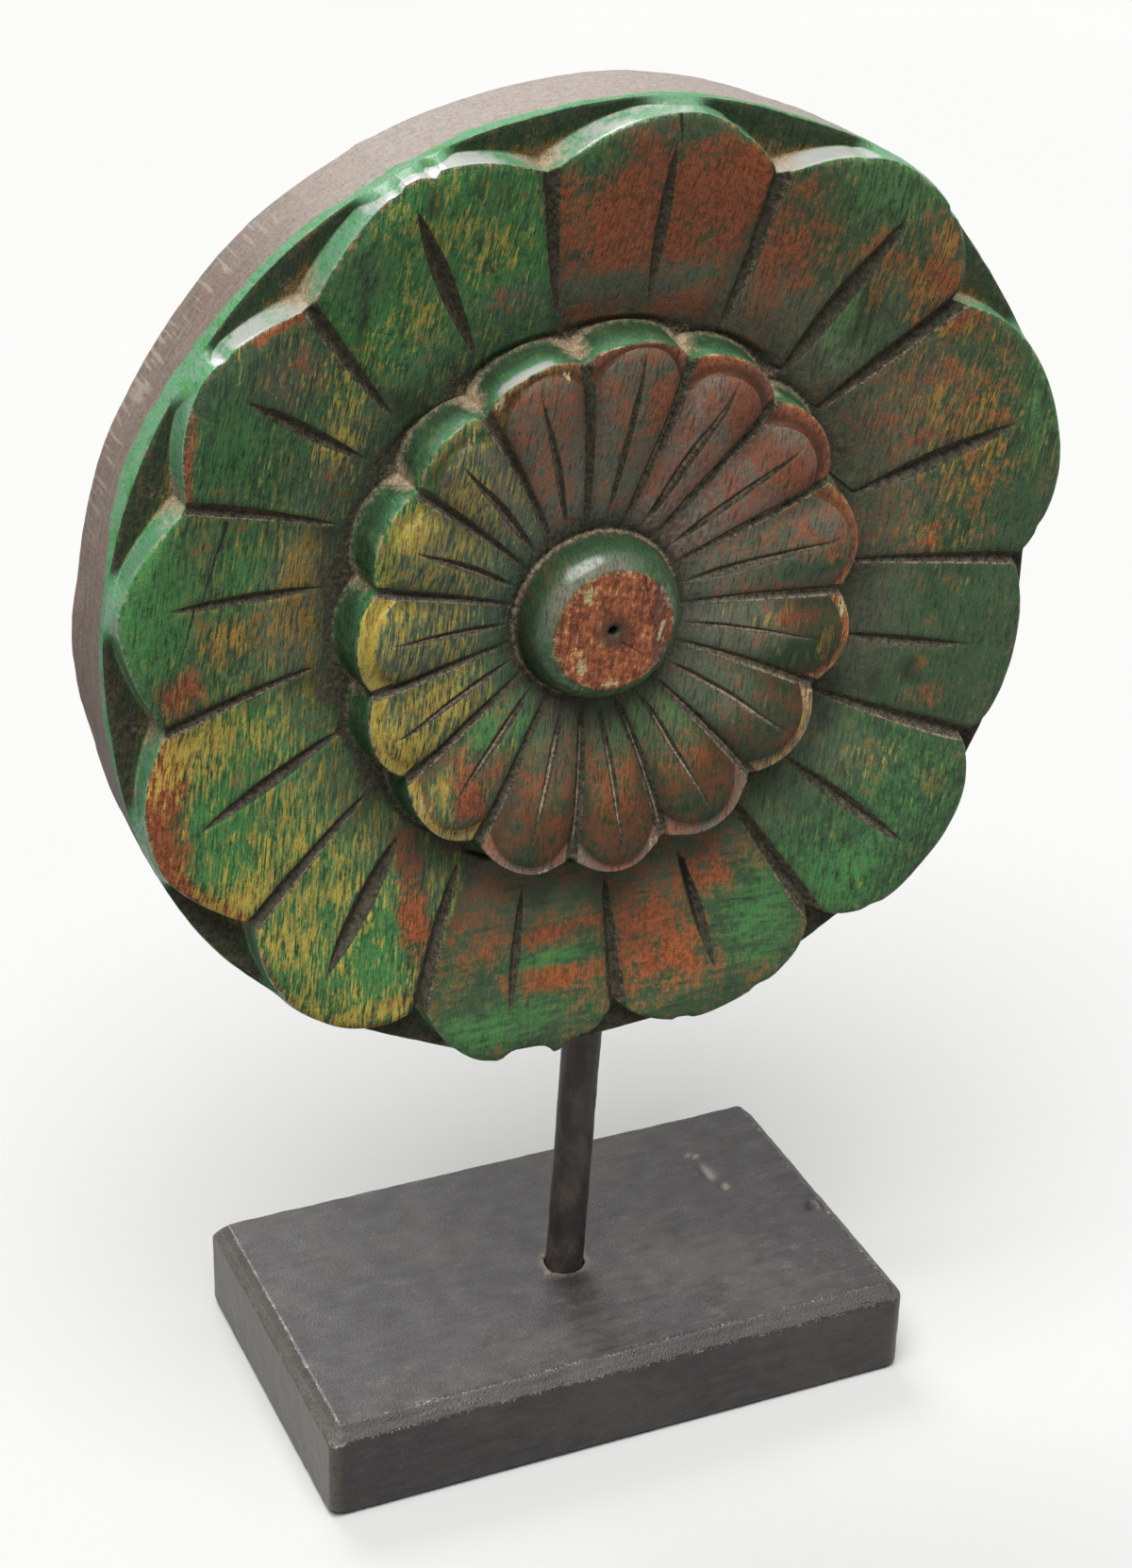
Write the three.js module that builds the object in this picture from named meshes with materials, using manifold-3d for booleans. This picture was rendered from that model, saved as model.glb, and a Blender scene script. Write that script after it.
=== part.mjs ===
// Carved wooden rosette on an iron rod, standing on a rectangular wooden block.
// Millimetres, +Z up. The carved face looks to -Y. The origin is the middle of the block's underside.
// The disc is cut by hand, so its petals are uneven: angles run clockwise from the top, seen from the
// front, in degrees, and heights of the carving are measured forward from the disc's flat back.

import * as THREE from "three";
import { mergeVertices } from "three/addons/utils/BufferGeometryUtils.js";
import Module from "manifold-3d";

// block
const BLOCK_WIDTH = 152;
const BLOCK_DEPTH = 90;
const BLOCK_HEIGHT = 25;
const BLOCK_BEVEL = 2.6;
const BLOCK_BEVEL_STEPS = 2;

// rod, let into the block and into the lower edge of the disc
const ROD_RADIUS = 4.7;
const ROD_FOOT_X = 0.8;
const ROD_Y = -4.1;
const ROD_LEAN = THREE.MathUtils.degToRad(2.4);
const ROD_IN_BLOCK = 18;
const ROD_TOP_Z = 136;
const ROD_SIDES = 32;
const SOCKET_GAP = 0.3;

// disc
const DISC_X = -0.8;
const DISC_Z = 211.6;
const DISC_BACK_Y = 7.5;
const BACK_SHRINK = 0.8;
const RIM_Z = 23.3;
const RIM_CLEAR = 0.3;
const FLOOR_SLOPE = 0.2;
const WALL_DRAFT = 0.5;
const SECTORS = 180;

// outer petals, one row each: valley angle, valley radius, tip angle, tip radius, fullness of the
// shoulder before the tip and after it, rim radius at the valley and at the tip, swing of the valley
// groove, middle groove angle and its swing
const OUTER = [
  [-9.4, 100.9, 8, 110.6, 1.9, 1.6, 111.7, 112.4, -0.4, 5.5, 2.5],
  [20.7, 100.5, 36, 114.0, 1.7, 2.7, 112.6, 114.4, 3.6, 37.6, 4.1],
  [52.9, 101.3, 75.5, 113.3, 2.9, 2.3, 112.8, 113.4, 1.1, 71.1, 4.3],
  [91.4, 101.9, 109, 107.4, 2.1, 3.2, 107.9, 110.6, -1.0, 103.0, 3.7],
  [116.4, 102.6, 134, 115.2, 2.8, 3.1, 111.8, 115.0, 3.0, 132.4, 1.9],
  [147.5, 101.4, 161.5, 112.2, 3.4, 2.7, 113.6, 113.0, -0.1, 163.2, -1.9],
  [177.0, 100.9, 195, 111.9, 3.2, 1.7, 112.2, 112.6, -0.2, 192.4, 1.4],
  [205.6, 100.2, 221, 111.8, 2.9, 1.7, 111.8, 112.6, 3.3, 219.9, 3.5],
  [233.7, 102.3, 246.6, 111.8, 1.4, 2.2, 113.3, 112.8, 1.5, 249.2, 1.0],
  [263.7, 100.9, 278.6, 111.2, 1.3, 1.5, 111.9, 112.1, 2.1, 278.9, 2.9],
  [292.2, 101.7, 306.1, 111.3, 1.7, 1.4, 112.7, 112.4, 2.1, 306.0, 1.2],
  [318.9, 102.9, 334.5, 111.6, 1.3, 1.8, 112.9, 112.1, -3.2, 334.5, -0.7],
];

// break in the edge of one petal: middle, half width and depth
const CHIP_ANGLE = 189.2;
const CHIP_HALF = 3.4;
const CHIP_DEPTH = 2.8;

// face of the outer petals, sloping down from the scalloped lip to a trench round the inner flower
const TRENCH_R = 64.5;
const TRENCH_Z = 21.2;
const LIP_R = 105;
const LIP_Z = 29.4;
const LIP_DROP = 1.1;
const BOWL_CURVE = 1.12;
const OUTER_CROWN = 0.9;
const OUTER_RINGS = [0, 0.1, 0.26, 0.45, 0.64, 0.82, 0.94, 1];
const OUTER_STEPS = [0.1, 0.26, 0.48, 0.74];
const LIP_SPREAD = 4;

// cuts between the outer petals and down their middles, widths and depths at their fullest
const GROOVE_START_WIDTH = 0.8;
const VALLEY_WIDTH = 4.0;
const VALLEY_DEPTH = 2.2;
const MID_WIDTH = 2.8;
const MID_DEPTH = 1.4;
const MID_CORE = 0.15;
const MID_FROM = 0.06;
const MID_SPAN = 0.78;

// inner flower, one valley angle each
const INNER = [
  -8, 15.9, 39.3, 64.3, 92.4, 116.4, 141.6, 165.8,
  188.1, 212.3, 237.1, 260, 284.6, 308.1, 328.9,
];
const INNER_VALLEY_R = 57.5;
const INNER_OVAL = 1.8;
const INNER_TIP_OUT = 3.8;
const INNER_ROUND = 2.2;
const INNER_FOOT_OUT = 1.2;
const INNER_FOOT_Z = 20.6;
const INNER_EYE_R = 17;
const INNER_HUB_R = 21;
const INNER_HUB_Z = 24.4;
const INNER_SLOPE = 0.18;
const INNER_CROWN = 2.0;
const INNER_LIP_DROP = 2.4;
const INNER_RINGS = [1, 0.92, 0.78, 0.6, 0.4, 0.18, 0];
const INNER_STEPS = [0.16, 0.4, 0.7];
const INNER_VALLEY_WIDTH = 3.2;
const INNER_VALLEY_DEPTH = 1.9;
const INNER_VALLEY_HUB_WIDTH = 0.9;
const INNER_VALLEY_HUB_DEPTH = 0.3;
const INNER_MID_WIDTH = 2.0;
const INNER_MID_END_WIDTH = 0.5;
const INNER_MID_DEPTH = 1.1;
const INNER_MID_SPAN = 0.92;

// boss
const BOSS_X = -1.6;
const BOSS_Y = -1.5;
const BOSS_FOOT_Z = 20;
const BOSS_HOLE_R = 1.1;
const BOSS_HOLE_Z = 28;
const BOSS_TOP_Z = 34.3;
const BOSS_PROFILE = [[19.0, 20], [19.2, 25.2], [18.9, 28.4], [17.6, 31.4], [15.9, 33.3], [13.9, 34.3]];
const BOSS_SECTORS = 48;

const wasm = await Module();
wasm.setup();

// clockwise angle folded into the turn that starts at the first valley
function fold(angle, start) {
  return start + THREE.MathUtils.euclideanModulo(angle - start, 360);
}

// row of the outer petal that holds the angle, with the row after it
function outerPetal(angle) {
  const a = fold(angle, OUTER[0][0]);
  let k = OUTER.length - 1;
  while (OUTER[k][0] > a) k -= 1;
  const next = OUTER[(k + 1) % OUTER.length];
  const end = k + 1 < OUTER.length ? next[0] : next[0] + 360;
  return { a, row: OUTER[k], next, end };
}

// 0 at a valley and 1 at the petal's tip
function tipShare({ a, row, end }) {
  const u = a < row[2] ? (a - row[0]) / (row[2] - row[0]) : (end - a) / (end - row[2]);
  return THREE.MathUtils.clamp(u, 0, 1);
}

// scalloped edge of the outer petals
function outerEdge(angle) {
  const petal = outerPetal(angle);
  const before = petal.a < petal.row[2];
  const valley = before ? petal.row[1] : petal.next[1];
  const bulge = 1 - (1 - tipShare(petal)) ** (before ? petal.row[4] : petal.row[5]);
  const offChip = Math.abs(fold(angle, 0) - CHIP_ANGLE) / CHIP_HALF;
  const chip = CHIP_DEPTH * Math.max(0, 1 - offChip ** 4);
  return valley + (petal.row[3] - valley) * bulge - chip;
}

// rim of the disc behind the petals
function rim(angle) {
  const petal = outerPetal(angle);
  const valley = petal.a < petal.row[2] ? petal.row[6] : petal.next[6];
  const round = THREE.MathUtils.smoothstep(tipShare(petal), 0, 1);
  const free = valley + (petal.row[7] - valley) * round;
  return Math.max(free, outerEdge(angle) + WALL_DRAFT + RIM_CLEAR);
}

// hollow face of the outer petals before the grooves are cut
function bowl(r) {
  const share = THREE.MathUtils.clamp((r - TRENCH_R) / (LIP_R - TRENCH_R), 0, 1);
  return TRENCH_Z + (LIP_Z - TRENCH_Z) * share ** BOWL_CURVE;
}

// angle within the inner petal that holds it, with the valleys at its two sides
function innerPetal(angle) {
  const a = fold(angle, INNER[0]);
  let k = INNER.length - 1;
  while (INNER[k] > a) k -= 1;
  const start = INNER[k];
  const end = k + 1 < INNER.length ? INNER[k + 1] : INNER[0] + 360;
  return { a, start, end };
}

// scalloped edge of the inner flower, a little taller than wide
function innerEdge(angle) {
  const { a, start, end } = innerPetal(angle);
  const across = Math.abs((2 * (a - start)) / (end - start) - 1);
  const oval = INNER_OVAL * Math.cos(2 * THREE.MathUtils.degToRad(angle));
  return INNER_VALLEY_R + oval + INNER_TIP_OUT * (1 - across ** INNER_ROUND);
}

// stations across one petal, from its valley line to just before the next one: each gives its angle
// and the cut whose bottom it lies on, if any
function petalStations(start, end, middle, r, valleyWidth, midWidth, core, steps) {
  const toAngle = THREE.MathUtils.radToDeg(1 / r);
  const half = (valleyWidth / 2) * toAngle;
  const midHalf = (midWidth / 2) * toAngle;
  const list = [{ angle: start, cut: "valley" }, { angle: start + half, cut: "" }];
  for (const s of steps) {
    list.push({ angle: THREE.MathUtils.lerp(start + half, middle - midHalf, s), cut: "" });
  }
  list.push({ angle: middle - midHalf, cut: "" });
  if (core > 0) list.push({ angle: middle - core * toAngle, cut: "mid" });
  list.push({ angle: middle + core * toAngle, cut: "mid" });
  list.push({ angle: middle + midHalf, cut: "" });
  for (const s of [...steps].reverse()) {
    list.push({ angle: THREE.MathUtils.lerp(end - half, middle + midHalf, s), cut: "" });
  }
  list.push({ angle: end - half, cut: "" });
  return list;
}

// ring of the outer petals at a share of the way from the trench to the scalloped edge
function outerRing(share, place) {
  const ring = [];
  const swing = 1 - share;
  const taper = Math.sqrt(share);
  const along = THREE.MathUtils.clamp((share - MID_FROM) / MID_SPAN, 0, 1);
  const spindle = Math.sin(Math.PI * along);
  const nominal = THREE.MathUtils.lerp(TRENCH_R, LIP_R, share);
  OUTER.forEach((row, k) => {
    const next = OUTER[(k + 1) % OUTER.length];
    const end = k + 1 < OUTER.length ? next[0] : next[0] + 360;
    const stations = petalStations(
      row[0] + row[8] * swing,
      end + next[8] * swing,
      row[9] + row[10] * swing,
      nominal,
      GROOVE_START_WIDTH + VALLEY_WIDTH * taper,
      GROOVE_START_WIDTH + MID_WIDTH * spindle,
      MID_CORE,
      OUTER_STEPS,
    );
    const from = stations[0].angle;
    const span = end + next[8] * swing - from;
    for (const { angle, cut } of stations) {
      const across = Math.abs((2 * (angle - from)) / span - 1);
      let depth = 0;
      if (cut === "valley") depth = VALLEY_DEPTH * taper;
      if (cut === "mid") depth = MID_DEPTH * spindle;
      ring.push(place(angle, across, depth));
    }
  });
  return ring;
}

// ring of the inner flower at a share of the way from the hub to its scalloped edge
function innerRing(share, place) {
  const ring = [];
  const nominal = THREE.MathUtils.lerp(INNER_HUB_R, INNER_VALLEY_R, share);
  const spindle = Math.sin(Math.PI * THREE.MathUtils.clamp(share / INNER_MID_SPAN, 0, 1));
  INNER.forEach((start, k) => {
    const end = k + 1 < INNER.length ? INNER[k + 1] : INNER[0] + 360;
    const stations = petalStations(
      start,
      end,
      (start + end) / 2,
      nominal,
      THREE.MathUtils.lerp(INNER_VALLEY_HUB_WIDTH, INNER_VALLEY_WIDTH, share),
      THREE.MathUtils.lerp(INNER_MID_END_WIDTH, INNER_MID_WIDTH, spindle),
      0,
      INNER_STEPS,
    );
    for (const { angle, cut } of stations) {
      const across = Math.abs((2 * (angle - start)) / (end - start) - 1);
      let depth = 0;
      if (cut === "valley") depth = THREE.MathUtils.lerp(INNER_VALLEY_HUB_DEPTH, INNER_VALLEY_DEPTH, share);
      if (cut === "mid") depth = INNER_MID_DEPTH * spindle;
      ring.push(place(angle, across, depth));
    }
  });
  return ring;
}

// gadrooned face of the inner flower, dipping to the hub
function innerFace(angle, across, depth, share) {
  const r = THREE.MathUtils.lerp(INNER_HUB_R, innerEdge(angle), share);
  const crown = INNER_CROWN * share * (1 - across * across);
  const lip = share === 1 ? INNER_LIP_DROP * (1 - across ** LIP_SPREAD) : 0;
  const z = INNER_HUB_Z + INNER_SLOPE * (r - INNER_HUB_R) + crown - lip - depth;
  return { angle, r, z };
}

// face of the outer petals, slightly crowned across
function outerFace(angle, across, depth, share) {
  const r = THREE.MathUtils.lerp(TRENCH_R, outerEdge(angle), share);
  const crown = OUTER_CROWN * share * (1 - across * across);
  const lip = share === 1 ? LIP_DROP * (1 - across ** LIP_SPREAD) : 0;
  return { angle, r, z: bowl(r) + crown - lip - depth };
}

// foot of the wall that drops from the scalloped edge to the notch floors
function outerFoot(angle) {
  const r = outerEdge(angle) + WALL_DRAFT;
  return { angle, r, z: RIM_Z - FLOOR_SLOPE * (rim(angle) - r) };
}

// every ring of the disc's skin, from the middle of the face out and round to the back
function discRings() {
  const rings = [];
  rings.push(innerRing(0, (angle) => ({ angle, r: INNER_EYE_R, z: INNER_HUB_Z })));
  for (const share of [...INNER_RINGS].reverse()) {
    rings.push(innerRing(share, (angle, across, depth) => innerFace(angle, across, depth, share)));
  }
  rings.push(innerRing(1, (angle) => ({ angle, r: innerEdge(angle) + INNER_FOOT_OUT, z: INNER_FOOT_Z })));
  for (const share of OUTER_RINGS) {
    rings.push(outerRing(share, (angle, across, depth) => outerFace(angle, across, depth, share)));
  }
  rings.push(outerRing(1, outerFoot));
  rings.push(outerRing(1, (angle) => ({ angle, r: rim(angle), z: RIM_Z })));
  rings.push(outerRing(1, (angle) => ({ angle, r: rim(angle) - BACK_SHRINK, z: 0 })));
  return rings;
}

// a turned blank whose rings are then moved to the carved surface
function carvedDisc() {
  const rings = discRings();
  const profile = [new THREE.Vector2(0, -INNER_HUB_Z)];
  for (const ring of rings) profile.push(new THREE.Vector2(ring[0].r, -ring[0].z));
  profile.push(new THREE.Vector2(0, 0));
  const blank = new THREE.LatheGeometry(profile, SECTORS);
  const spot = blank.getAttribute("position");
  for (let s = 0; s <= SECTORS; s += 1) {
    rings.forEach((ring, i) => {
      const { angle, r, z } = ring[s % SECTORS];
      const turn = THREE.MathUtils.degToRad(angle);
      spot.setXYZ(s * profile.length + i + 1, r * Math.sin(turn), -z, r * Math.cos(turn));
    });
  }
  return blank;
}

// turned boss with a small centre hole
function boss() {
  const profile = [[0, BOSS_FOOT_Z], ...BOSS_PROFILE, [BOSS_HOLE_R, BOSS_TOP_Z]];
  profile.push([BOSS_HOLE_R, BOSS_HOLE_Z], [0, BOSS_HOLE_Z]);
  const points = profile.map(([r, z]) => new THREE.Vector2(r, -z)).reverse();
  const turned = new THREE.LatheGeometry(points, BOSS_SECTORS);
  turned.translate(BOSS_X, 0, BOSS_Y);
  return turned;
}

// closed geometry to solid, with its shared corners merged
function solid(geometry) {
  const bare = new THREE.BufferGeometry();
  bare.setAttribute("position", geometry.getAttribute("position").clone());
  if (geometry.index) bare.setIndex(geometry.index.clone());
  const welded = mergeVertices(bare, 1e-4);
  const index = welded.index.array;
  const tris = [];
  for (let i = 0; i < index.length; i += 3) {
    const [a, b, c] = [index[i], index[i + 1], index[i + 2]];
    if (a !== b && b !== c && c !== a) tris.push(a, b, c);
  }
  const mesh = new wasm.Mesh({
    numProp: 3,
    vertProperties: new Float32Array(welded.getAttribute("position").array),
    triVerts: new Uint32Array(tris),
  });
  return new wasm.Manifold(mesh);
}

// solid back to a geometry to show
function geometryOf(body) {
  const mesh = body.getMesh();
  const geometry = new THREE.BufferGeometry();
  geometry.setAttribute("position", new THREE.BufferAttribute(mesh.vertProperties, 3));
  geometry.setIndex(new THREE.BufferAttribute(mesh.triVerts, 1));
  geometry.computeVertexNormals();
  return geometry;
}

// rod along its leaning axis, grown by a gap where it stands for the hole it sits in
function rodGeometry(gap) {
  const low = BLOCK_HEIGHT - ROD_IN_BLOCK - gap;
  const high = ROD_TOP_Z + gap;
  const length = (high - low) / Math.cos(ROD_LEAN);
  const rod = new THREE.CylinderGeometry(ROD_RADIUS + gap, ROD_RADIUS + gap, length, ROD_SIDES);
  rod.rotateX(Math.PI / 2);
  rod.translate(0, 0, length / 2);
  rod.rotateY(ROD_LEAN);
  rod.translate(ROD_FOOT_X - (BLOCK_HEIGHT - low) * Math.tan(ROD_LEAN), ROD_Y, low);
  return rod;
}

// slab with its top edges worn round; it runs on below its underside, which is cut later
function blockGeometry() {
  const w = BLOCK_WIDTH / 2 - BLOCK_BEVEL;
  const d = BLOCK_DEPTH / 2 - BLOCK_BEVEL;
  const corners = [[-w, -d], [w, -d], [w, d], [-w, d]];
  const outline = new THREE.Shape(corners.map(([x, y]) => new THREE.Vector2(x, y)));
  const bar = new THREE.ExtrudeGeometry(outline, {
    depth: BLOCK_HEIGHT,
    bevelThickness: BLOCK_BEVEL,
    bevelSize: BLOCK_BEVEL,
    bevelSegments: BLOCK_BEVEL_STEPS,
  });
  bar.translate(0, 0, -BLOCK_BEVEL);
  return bar;
}

const paintedWood = new THREE.MeshStandardMaterial({ color: 0x35582f, roughness: 0.55, metalness: 0 });
const darkIron = new THREE.MeshStandardMaterial({ color: 0x221c19, roughness: 0.5, metalness: 0.8 });
const stainedWood = new THREE.MeshStandardMaterial({ color: 0x2b2a2a, roughness: 0.5, metalness: 0 });

const socket = solid(rodGeometry(SOCKET_GAP));

const disc = solid(carvedDisc()).add(solid(boss()));
const discSocket = socket.translate([-DISC_X, -DISC_BACK_Y, -DISC_Z]);
const rosette = new THREE.Mesh(geometryOf(disc.subtract(discSocket)), paintedWood);
rosette.name = "rosette";
rosette.position.set(DISC_X, DISC_BACK_Y, DISC_Z);

const rod = new THREE.Mesh(geometryOf(solid(rodGeometry(0))), darkIron);
rod.name = "rod";

const belowFloor = new THREE.BoxGeometry(2 * BLOCK_WIDTH, 2 * BLOCK_DEPTH, BLOCK_HEIGHT);
belowFloor.translate(0, 0, -BLOCK_HEIGHT / 2);
const slab = solid(blockGeometry()).subtract(solid(belowFloor));
const block = new THREE.Mesh(geometryOf(slab.subtract(socket)), stainedWood);
block.name = "base_block";

const stand = new THREE.Group();
stand.add(block, rod);
const part = new THREE.Group();
part.add(stand, rosette);

export default part;
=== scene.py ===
"""Carved and painted wooden rosette on an iron rod and a stained block.

Metres in Blender; the tables below are in millimetres and degrees. The carved face looks to -Y. Angles
on the disc run clockwise from its top, seen from the front, and heights run forward from its flat back.
"""

import math

import bmesh
import bpy
import numpy as np
from mathutils import Matrix, Vector


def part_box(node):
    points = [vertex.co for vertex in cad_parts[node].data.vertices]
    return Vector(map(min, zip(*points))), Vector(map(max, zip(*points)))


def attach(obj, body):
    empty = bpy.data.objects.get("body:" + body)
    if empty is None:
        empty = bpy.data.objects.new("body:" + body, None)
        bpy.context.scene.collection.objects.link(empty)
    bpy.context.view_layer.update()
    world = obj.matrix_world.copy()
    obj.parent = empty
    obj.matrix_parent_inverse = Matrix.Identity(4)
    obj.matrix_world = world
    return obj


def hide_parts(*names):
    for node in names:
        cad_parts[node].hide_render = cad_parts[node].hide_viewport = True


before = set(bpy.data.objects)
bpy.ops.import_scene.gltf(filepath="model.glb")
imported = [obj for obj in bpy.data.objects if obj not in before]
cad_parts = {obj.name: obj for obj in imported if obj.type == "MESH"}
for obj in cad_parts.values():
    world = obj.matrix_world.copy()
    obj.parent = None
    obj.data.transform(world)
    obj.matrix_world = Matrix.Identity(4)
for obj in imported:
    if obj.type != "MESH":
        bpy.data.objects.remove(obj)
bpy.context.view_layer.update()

bl_info = {
    "name": "Carved rosette on a stand",
    "version": (1, 0, 0),
    "blender": (4, 5, 0),
    "location": "3D View > Sidebar > Rosette",
    "description": "Carves a painted wooden rosette and sets it on its rod and block",
    "category": "Add Mesh",
}

MM = 0.001
# Roughness of the thin clear coat that the handled paint has.
COAT_ROUGHNESS = 0.20

# Where the disc sits: its centre on the back face.
DISC_X, DISC_BACK_Y, DISC_Z = -0.8, 7.5, 211.6

# Outer petals: valley angle, valley radius, tip angle, tip radius, fullness before the tip and after it,
# rim radius at the valley and at the tip, swing of the valley groove, middle groove angle and its swing.
OUTER = np.array([
    [-9.4, 100.9, 8, 110.6, 1.9, 1.6, 111.7, 112.4, -0.4, 5.5, 2.5],
    [20.7, 100.5, 36, 114.0, 1.7, 2.7, 112.6, 114.4, 3.6, 37.6, 4.1],
    [52.9, 101.3, 75.5, 113.3, 2.9, 2.3, 112.8, 113.4, 1.1, 71.1, 4.3],
    [91.4, 101.9, 109, 107.4, 2.1, 3.2, 107.9, 110.6, -1.0, 103.0, 3.7],
    [116.4, 102.6, 134, 115.2, 2.8, 3.1, 111.8, 115.0, 3.0, 132.4, 1.9],
    [147.5, 101.4, 161.5, 112.2, 3.4, 2.7, 113.6, 113.0, -0.1, 163.2, -1.9],
    [177.0, 100.9, 195, 111.9, 3.2, 1.7, 112.2, 112.6, -0.2, 192.4, 1.4],
    [205.6, 100.2, 221, 111.8, 2.9, 1.7, 111.8, 112.6, 3.3, 219.9, 3.5],
    [233.7, 102.3, 246.6, 111.8, 1.4, 2.2, 113.3, 112.8, 1.5, 249.2, 1.0],
    [263.7, 100.9, 278.6, 111.2, 1.3, 1.5, 111.9, 112.1, 2.1, 278.9, 2.9],
    [292.2, 101.7, 306.1, 111.3, 1.7, 1.4, 112.7, 112.4, 2.1, 306.0, 1.2],
    [318.9, 102.9, 334.5, 111.6, 1.3, 1.8, 112.9, 112.1, -3.2, 334.5, -0.7],
])
# Middle cut of each outer petal: width, and the radii where it starts and ends.
MIDDLE = np.array([
    [3.0, 69, 103.5], [4.8, 62, 104.5], [4.2, 64, 102.5], [2.8, 63, 95], [3.4, 68, 105.5], [3.0, 70, 100.5],
    [2.2, 71, 99.5], [4.6, 68, 101.5], [3.4, 63, 99.8], [2.4, 65, 100.2], [3.0, 68, 100.8],
    [4.0, 68, 105.5],
])
# Cut between two outer petals: width at its outer end, and the radius where it starts.
VALLEY = np.array([
    [4.2, 69], [4.6, 65], [6.0, 63], [3.6, 61], [4.0, 60], [5.2, 64], [4.6, 71], [4.8, 67], [4.2, 66],
    [3.4, 66], [3.4, 66.5], [3.8, 69],
])
# Width of the worn flat along each outer petal's lip.
LIP_FLAT = np.array([1.5, 1.5, 2.0, 1.5, 1.5, 1.5, 1.6, 2.0, 4.8, 2.4, 3.6, 1.6])

# Valleys of the inner flower. For each petal: the width of the crescent that its tip is cut back to, at its
# start, middle and end, then the width and outer end (as a share of the way out) of its middle cut.
INNER = np.array([
    -8, 15.9, 39.3, 64.3, 92.4, 116.4, 141.6, 165.8, 188.1, 212.3, 237.1, 260, 284.6, 308.1, 328.9,
])
CRESCENT = np.array([
    [7.6, 1.1, 7.6], [9.5, 4.0, 5.0], [8.0, 4.2, 5.0], [6.0, 2.4, 3.6], [4.0, 2.4, 5.6], [5.0, 3.0, 4.6],
    [7.6, 3.0, 7.6], [8.0, 2.2, 6.6], [8.4, 2.2, 4.6], [7.5, 2.6, 4.0], [6.5, 2.8, 4.2], [6.5, 4.0, 6.0],
    [4.5, 4.2, 7.5], [4.0, 4.4, 8.0], [8.6, 2.0, 6.4],
])
INNER_CUT = np.array([1.4, 2.6, 2.1, 2.4, 1.3, 1.9, 1.6, 1.5, 1.8, 2.2, 1.9, 1.9, 2.2, 2.2, 1.7])
INNER_CUT_END = np.array([
    0.93, 0.88, 0.86, 0.84, 0.80, 0.86, 0.90, 0.93, 0.80, 0.78, 0.86, 0.80, 0.80, 0.85, 0.85,
])

# Breaks in the lips: angle, half width in degrees and depth.
CHIPS = [
    (189.2, 3.4, 2.8), (183.0, 1.6, 1.1), (178.6, 1.0, 0.8), (168.4, 1.3, 0.7), (158.0, 1.0, 0.6),
    (337.6, 0.8, 1.3), (333.4, 0.6, 0.7), (29.6, 0.9, 0.35), (43.0, 0.8, 0.6), (87.0, 0.7, 0.5),
    (141.0, 0.9, 0.6), (224.0, 0.8, 0.5), (309.0, 0.8, 0.5), (14.0, 0.7, 0.5),
]

# Paint on the outer petals: shares of rust red, ochre, bright green and level brush strokes.
OUTER_PAINT = np.array([
    [0.55, 0.03, 0.15, 0.35], [0.32, 0.20, 0.25, 0], [0.32, 0.22, 0.25, 0], [0.14, 0.06, 0.15, 0],
    [0.14, 0.07, 0.40, 0.1], [0.36, 0.05, 0.30, 1], [0.35, 0.05, 0.34, 1], [0.10, 0.42, 0.70, 0],
    [0.12, 0.45, 0.80, 0], [0.22, 0.28, 0.48, 0], [0.20, 0.15, 0.40, 0], [0.10, 0.27, 0.72, 0.1],
])
# The same on the worn flat of the lips.
LIP_PAINT = np.array([
    [0.10, 0.10, 0.25, 0], [0.10, 0.15, 0.35, 0], [0.15, 0.10, 0.40, 0], [0.20, 0.05, 0.10, 0],
    [0.15, 0.05, 0.55, 0], [0.15, 0.05, 0.45, 0], [0.15, 0.05, 0.50, 0], [0.45, 0.45, 0.20, 0],
    [0.80, 0.34, 0.10, 0], [0.15, 0.10, 0.70, 0], [0.66, 0.12, 0.10, 0], [0.30, 0.25, 0.25, 0],
])
# How far the ochre of each outer petal turns to orange.
OUTER_ORANGE = np.array([0.8, 0.8, 0.6, 0.5, 0.3, 0.5, 0.5, 0.15, 0.1, 0.5, 0.2, 0.0])
# Paint on the inner petals: red, ochre, bright green and grey veil inside the crescent, then on it.
INNER_PAINT = np.array([
    [0.46, 0.00, 0.10, 0.68, 0.90, 0.00, 0.1, 0.00], [0.52, 0.00, 0.05, 0.84, 1.00, 0.00, 0.0, 0.00],
    [0.44, 0.00, 0.05, 0.85, 1.00, 0.00, 0.0, 0.00], [0.42, 0.10, 0.10, 0.55, 0.75, 0.35, 0.0, 0.10],
    [0.34, 0.18, 0.05, 0.64, 0.65, 0.35, 0.0, 0.30], [0.40, 0.12, 0.10, 0.45, 0.45, 0.48, 0.0, 0.55],
    [0.47, 0.03, 0.36, 0.26, 0.46, 0.00, 0.0, 0.80], [0.50, 0.03, 0.36, 0.26, 0.48, 0.05, 0.0, 0.80],
    [0.49, 0.03, 0.30, 0.36, 0.48, 0.05, 0.0, 0.80], [0.44, 0.22, 0.40, 0.30, 0.20, 0.65, 0.4, 0.40],
    [0.25, 0.48, 0.40, 0.30, 0.50, 0.60, 0.3, 0.00], [0.15, 0.45, 0.35, 0.50, 0.35, 0.95, 0.1, 0.00],
    [0.15, 0.46, 0.45, 0.55, 0.30, 0.50, 0.8, 0.00], [0.30, 0.36, 0.35, 0.68, 0.30, 0.45, 0.9, 0.00],
    [0.48, 0.04, 0.12, 0.70, 0.75, 0.48, 0.1, 0.00],
])
# Pink cast of the worn paint on each inner petal.
INNER_MAUVE = np.array([0.25, 0.8, 0.8, 0.5, 0.4, 0.4, 0.7, 0.8, 0.7, 0.4, 0.1, 0.0, 0.0, 0.1, 0.4])
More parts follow.
